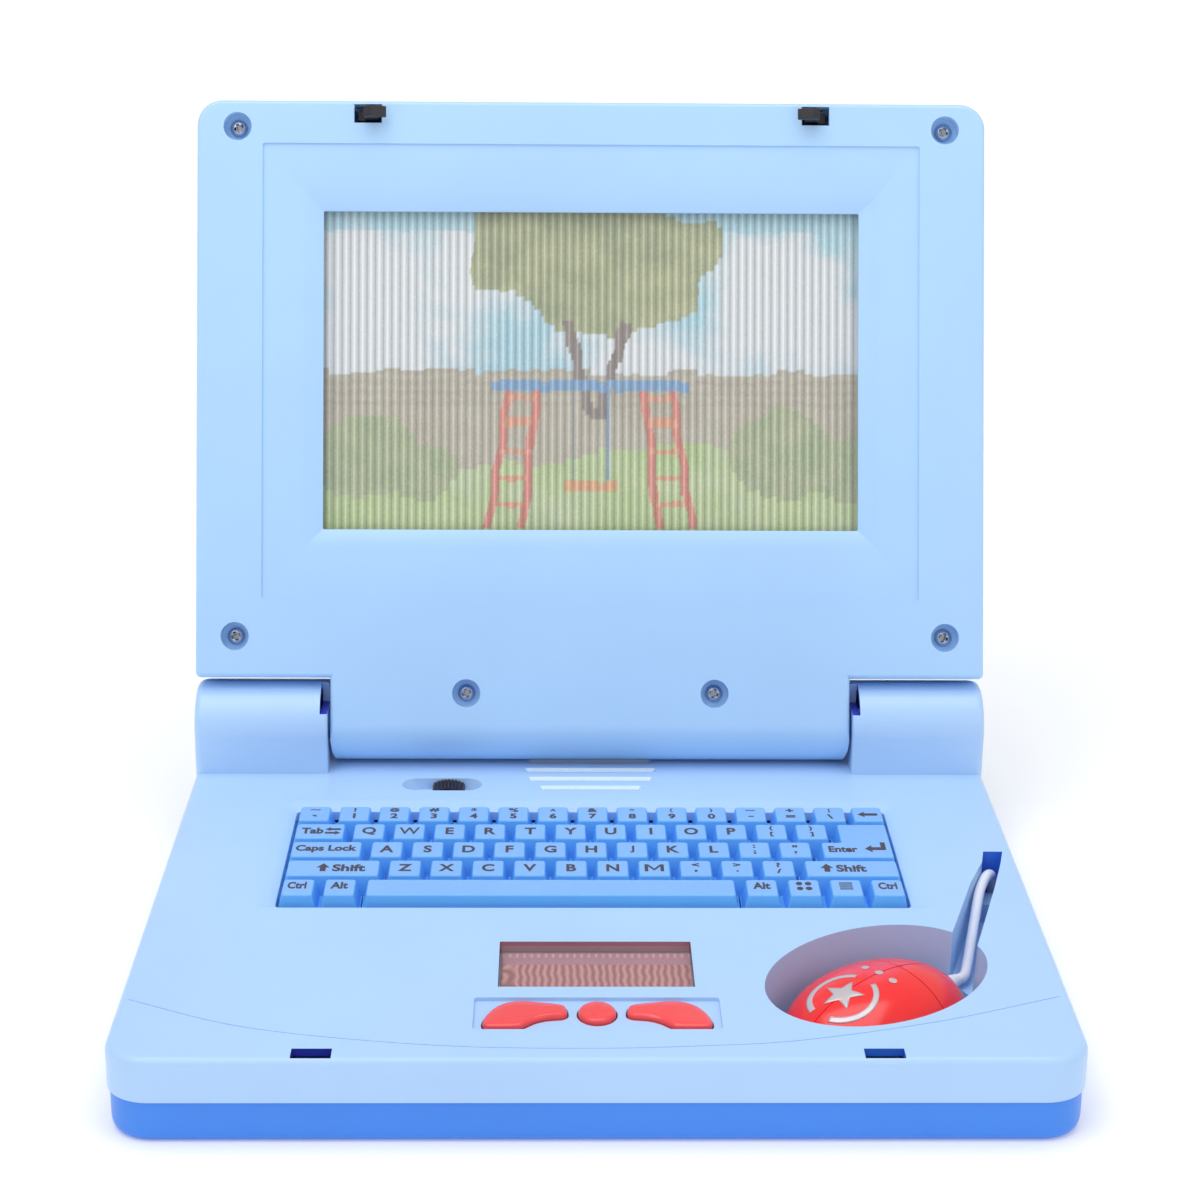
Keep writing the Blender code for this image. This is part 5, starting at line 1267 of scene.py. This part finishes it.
# ================================================================== lid
def lid_outline(inset, seg=12):
    w, m, low = LID_HALF_W - inset, BARREL_X - inset, -LID_NOTCH - BARREL_R - 1.0
    r = LID_TOP_R - inset
    pts = [(-m + 2.2, low), (m - 2.2, low), (m - 1.1, low + 1.6), (m - 0.4, low + 4.0), (m, low + 8.0), (m, inset)]
    c = 1.6
    for k in range(5):
        a = math.radians(-90 + 90 * k / 4)
        pts.append((w - c + c * math.cos(a), inset + c + c * math.sin(a)))
    for k in range(seg + 1):
        a = math.radians(90 * k / seg)
        pts.append((w - r + r * math.cos(a), LID_LEN - inset - r + r * math.sin(a)))
    for k in range(seg + 1):
        a = math.radians(90 + 90 * k / seg)
        pts.append((-w + r + r * math.cos(a), LID_LEN - inset - r + r * math.sin(a)))
    for k in range(5):
        a = math.radians(180 + 90 * k / 4)
        pts.append((-w + c + c * math.cos(a), inset + c + c * math.sin(a)))
    pts += [(-m, inset), (-m, low + 8.0), (-m + 0.4, low + 4.0), (-m + 1.1, low + 1.6)]
    return pts


def barrel_cutter(front):
    s = 1 if front else -1
    pts = [(-LID_NOTCH + 0.7, -BARREL_R + s * (BARREL_R + 0.3))]
    for k in range(0, 29):
        a = math.radians(90 * k / 28)
        pts.append((-LID_NOTCH - BARREL_R * math.sin(a), -BARREL_R + s * BARREL_R * math.cos(a)))
    pts += [(-LID_NOTCH - BARREL_R, -BARREL_R - s * 2), (-LID_NOTCH - 30, -BARREL_R - s * 2), (-LID_NOTCH - 30, -BARREL_R + s * 20), (-LID_NOTCH + 0.7, -BARREL_R + s * 20)]
    return prism(pts, -100, 100, "X")


def barrel_hollow(front):
    s = 1 if front else -1
    r = BARREL_R - WALL
    pts = [(4.0, -BARREL_R + s * r)]
    for k in range(0, 13):
        a = math.radians(90 * k / 12)
        pts.append((-LID_NOTCH - r * math.sin(a), -BARREL_R + s * r * math.cos(a)))
    pts += [(-LID_NOTCH - r, -BARREL_R - s * 3), (4.0, -BARREL_R - s * 3)]
    return prism(pts, -BARREL_X + WALL, BARREL_X - WALL, "X")


def build_lid():
    rings = [flat(lid_outline(0.0), LID_SEAM), flat(lid_outline(0.0), -1.7)]
    for k in range(1, 7):
        a = math.pi / 2 * k / 6
        rings.append(flat(lid_outline(1.5 * (1 - math.cos(a))), -1.7 + 1.7 * math.sin(a)))
    bezel = make("screen_surround", [loft(rings)], M_LID, LID)
    apply_tool(bezel, [barrel_cutter(True)], frame=LID)
    w = LID_HALF_W - WALL
    apply_tool(bezel, [prism(rrect(-w, w, WALL, LID_LEN - WALL, [1, 1, LID_TOP_R - WALL, LID_TOP_R - WALL], 8), LID_SEAM - 3, -WALL)], frame=LID)
    apply_tool(bezel, [barrel_hollow(True)], frame=LID)
    apply_tool(bezel, [box(-93.5, 93.5, 38.8, 156.2, -4.3, -1.5)] + [cyl_z(x, t, 6.37, -7.6, -1.4, 30) for x, t in SCREWS_LID], "UNION", LID)
    apply_tool(bezel, [prism(rrect(-104, 104, 24.7, 169, 0.8, 4), -PANEL_STEP, 2.0)], frame=LID)
    apply_tool(bezel, [loft([flat(rrect(-85, 85, 47, 148, 0.5, 3), -8.0), flat(rrect(-85, 85, 47, 148, 0.5, 3), -3.1),
                             flat(rrect(-92.5, 92.5, 39.8, 155.2, 0.5, 3), -PANEL_STEP + 0.5)])], frame=LID)
    apply_tool(bezel, [cyl_z(x, t, 4.45, -5.0, 2.0, 36) for x, t in SCREWS_LID]
               + [box(-75.2, -66.5, 175.5, 181.4, -8.0, 2.0), box(66.5, 75.2, 175.5, 181.4, -8.0, 2.0)], frame=LID)
    apply_tool(bezel, [cyl_z(x, t, 1.7, -9.0, -4.0, 16) for x, t in SCREWS_LID]
               + [cyl_x(-LID_NOTCH, -BARREL_R, TRUNNION_R + GAP, BARREL_X - 4, BARREL_X + 2),
                  cyl_x(-LID_NOTCH, -BARREL_R, TRUNNION_R + GAP, -BARREL_X - 2, -BARREL_X + 4)], frame=LID)
    settle(bezel, 0.30, 2, 30.0, 36.0)
    stand_for(bezel, "lid", "lid_front_bezel", slot="lid_blue_plastic")

    top = LID_SEAM - GAP
    rings = [flat(lid_outline(4.0), -LID_T), flat(lid_outline(2.6), -LID_T + 0.25), flat(lid_outline(1.6), -LID_T + 0.8), flat(lid_outline(0.8), -LID_T + 1.7),
             flat(lid_outline(0.25), -LID_T + 2.9), flat(lid_outline(0.0), -LID_T + 4.2), flat(lid_outline(0.0), top)]
    cover = make("screen_back", [loft(rings)], M_LID, LID)
    apply_tool(cover, [barrel_cutter(False)], frame=LID)
    apply_tool(cover, [prism(rrect(-w, w, WALL, LID_LEN - WALL, [1, 1, LID_TOP_R - WALL, LID_TOP_R - WALL], 8), -LID_T + WALL, top + 3)], frame=LID)
    apply_tool(cover, [barrel_hollow(False)], frame=LID)
    apply_tool(cover, [cyl_z(x, t, 3.4, -LID_T + 1.5, -7.9, 18) for x, t in SCREWS_LID]
               + [cyl_z(x, t, 2.2, -LID_T + 1.5, -16.2, 12) for x, t in ((-56, 66), (56, 66), (-56, 126), (56, 126))], "UNION", LID)
    apply_tool(cover, [cyl_x(-LID_NOTCH, -BARREL_R, TRUNNION_R, BARREL_X - 3.2, 87.0, 40),
                       cyl_x(-LID_NOTCH, -BARREL_R, TRUNNION_R, -87.0, -BARREL_X + 3.2, 40)], "UNION", LID)
    apply_tool(cover, [cyl_z(x, t, 1.6, -17.5, -7.0, 14) for x, t in SCREWS_LID]
               + [cyl_x(-LID_NOTCH, -BARREL_R, 3.2, BARREL_X - 5, 90.0, 24), cyl_x(-LID_NOTCH, -BARREL_R, 3.2, -90.0, -BARREL_X + 5, 24)], frame=LID)
    settle(cover, 0.25, 2, 32.0, 36.0)
    stand_for(cover, "lid", "lid_rear_cover", slot="lid_blue_plastic")

    for tag, s in (("left", 1), ("right", -1)):
        prof = [(-74.4, -6.6), (-63.4, -6.6), (-63.4, -3.4), (-67.4, -3.4), (-67.4, 3.0), (-64.9, 3.0), (-64.9, 3.7), (-69.4, 6.0), (-71.9, 4.2), (-71.9, -3.4), (-74.4, -3.4)]
        pts = [(x * s, h) for x, h in prof]
        if s < 0:
            pts.reverse()
        hook = make("catch_" + tag, [prism(pts, 176.6, 180.1, "Y")], M_BLACK, LID)
        settle(hook, 0.28, 2, 30.0, 30.0)
        stand_for(hook, "latch_" + tag, "latch_hook_" + tag, slot="black_plastic")



# ================================================================== carried-over inner pieces
def dress_cad_nodes():
    slots = {s["node"]: s["material_slot"] for s in frame["record"]["subparts"]}
    for name, ob in NODES.items():
        m = SLOT_MAT.get(slots.get(name), M_CELL)
        if name == "power_switch_body":
            m = M_BLACK
        ob.data.materials.clear()
        ob.data.materials.append(m)
        ob.data.shade_smooth()
        ob.data.set_sharp_from_angle(angle=math.radians(32))


# ================================================================== camera, light and floor
def build_stage():
    cam = bpy.data.cameras.new("camera")
    cam.sensor_width = 36.0
    cam.lens = 76.8
    cam.clip_start = 0.01
    cam.clip_end = 20.0
    ob = bpy.data.objects.new("camera", cam)
    scene.collection.objects.link(ob)
    yaw, pitch, roll = math.radians(1.05), math.radians(19.03), math.radians(0.51)
    fwd = Vector((math.sin(yaw) * math.cos(pitch), math.cos(yaw) * math.cos(pitch), -math.sin(pitch)))
    right = Vector((math.cos(yaw), -math.sin(yaw), 0))
    up = right.cross(fwd)
    r2 = math.cos(roll) * right + math.sin(roll) * up
    u2 = -math.sin(roll) * right + math.cos(roll) * up
    m = Matrix((r2, u2, -fwd)).transposed().to_4x4()
    m.translation = Vector((-0.0111, -0.6729, 0.3412))
    ob.matrix_world = m
    scene.camera = ob

    def area(name, loc, target, size, energy, color=(1, 1, 1)):
        la = bpy.data.lights.new(name, "AREA")
        la.shape = "RECTANGLE"
        la.size, la.size_y = size
        la.energy = energy
        la.color = color
        o = bpy.data.objects.new(name, la)
        o.location = loc
        o.rotation_euler = (Vector(target) - Vector(loc)).to_track_quat("-Z", "Y").to_euler()
        scene.collection.objects.link(o)
        return o
    area("key_light", (-0.55, -0.55, 1.15), (0, 0.0, 0.05), (0.9, 0.9), 3.8)
    area("fill_light", (0.85, -0.65, 0.75), (0, 0.0, 0.08), (0.9, 0.9), 1.4)
    area("top_light", (0.0, 0.0, 1.3), (0, 0.02, 0.0), (1.2, 0.9), 6.4)
    w = bpy.data.worlds.new("studio")
    scene.world = w
    w.use_nodes = True
    w.node_tree.nodes["Background"].inputs["Color"].default_value = (1.0, 1.0, 1.0, 1.0)
    w.node_tree.nodes["Background"].inputs["Strength"].default_value = 0.56
    scene.view_settings.view_transform = "Standard"
    scene.view_settings.look = "None"
    me = bpy.data.meshes.new("floor")
    s = 14.0
    me.from_pydata([(-s, -s, 0), (s, -s, 0), (s, s, 0), (-s, s, 0)], [], [(0, 1, 2, 3)])
    fm = bpy.data.materials.new("pale_floor")
    fm.use_nodes = True
    b = fm.node_tree.nodes["Principled BSDF"]
    b.inputs["Base Color"].default_value = (0.94, 0.94, 0.95, 1)
    b.inputs["Roughness"].default_value = 0.9
    b.inputs["Specular IOR Level"].default_value = 0.1
    b.inputs["Emission Color"].default_value = (1, 1, 1, 1)
    b.inputs["Emission Strength"].default_value = 0.30
    # the far floor glows a little more, so the backdrop stays even
    nt = fm.node_tree
    tc = nt.nodes.new("ShaderNodeTexCoord")
    ln = nt.nodes.new("ShaderNodeVectorMath")
    ln.operation = "LENGTH"
    mr = nt.nodes.new("ShaderNodeMapRange")
    mr.inputs["From Min"].default_value = 0.45
    mr.inputs["From Max"].default_value = 1.8
    mr.inputs["To Min"].default_value = 0.16
    mr.inputs["To Max"].default_value = 0.55
    nt.links.new(tc.outputs["Object"], ln.inputs[0])
    nt.links.new(ln.outputs["Value"], mr.inputs["Value"])
    nt.links.new(mr.outputs["Result"], b.inputs["Emission Strength"])
    me.materials.append(fm)
    o = bpy.data.objects.new("floor", me)
    scene.collection.objects.link(o)


build_stage()
dress_cad_nodes()
build_cord()
build_top_shell()
build_bottom_shell()
build_battery_door()
build_keys()
build_buttons()
build_knob()
build_screws()
build_cards()
build_mouse()
build_lid()
for t in TOOLS:
    bpy.data.objects.remove(t, do_unlink=True)
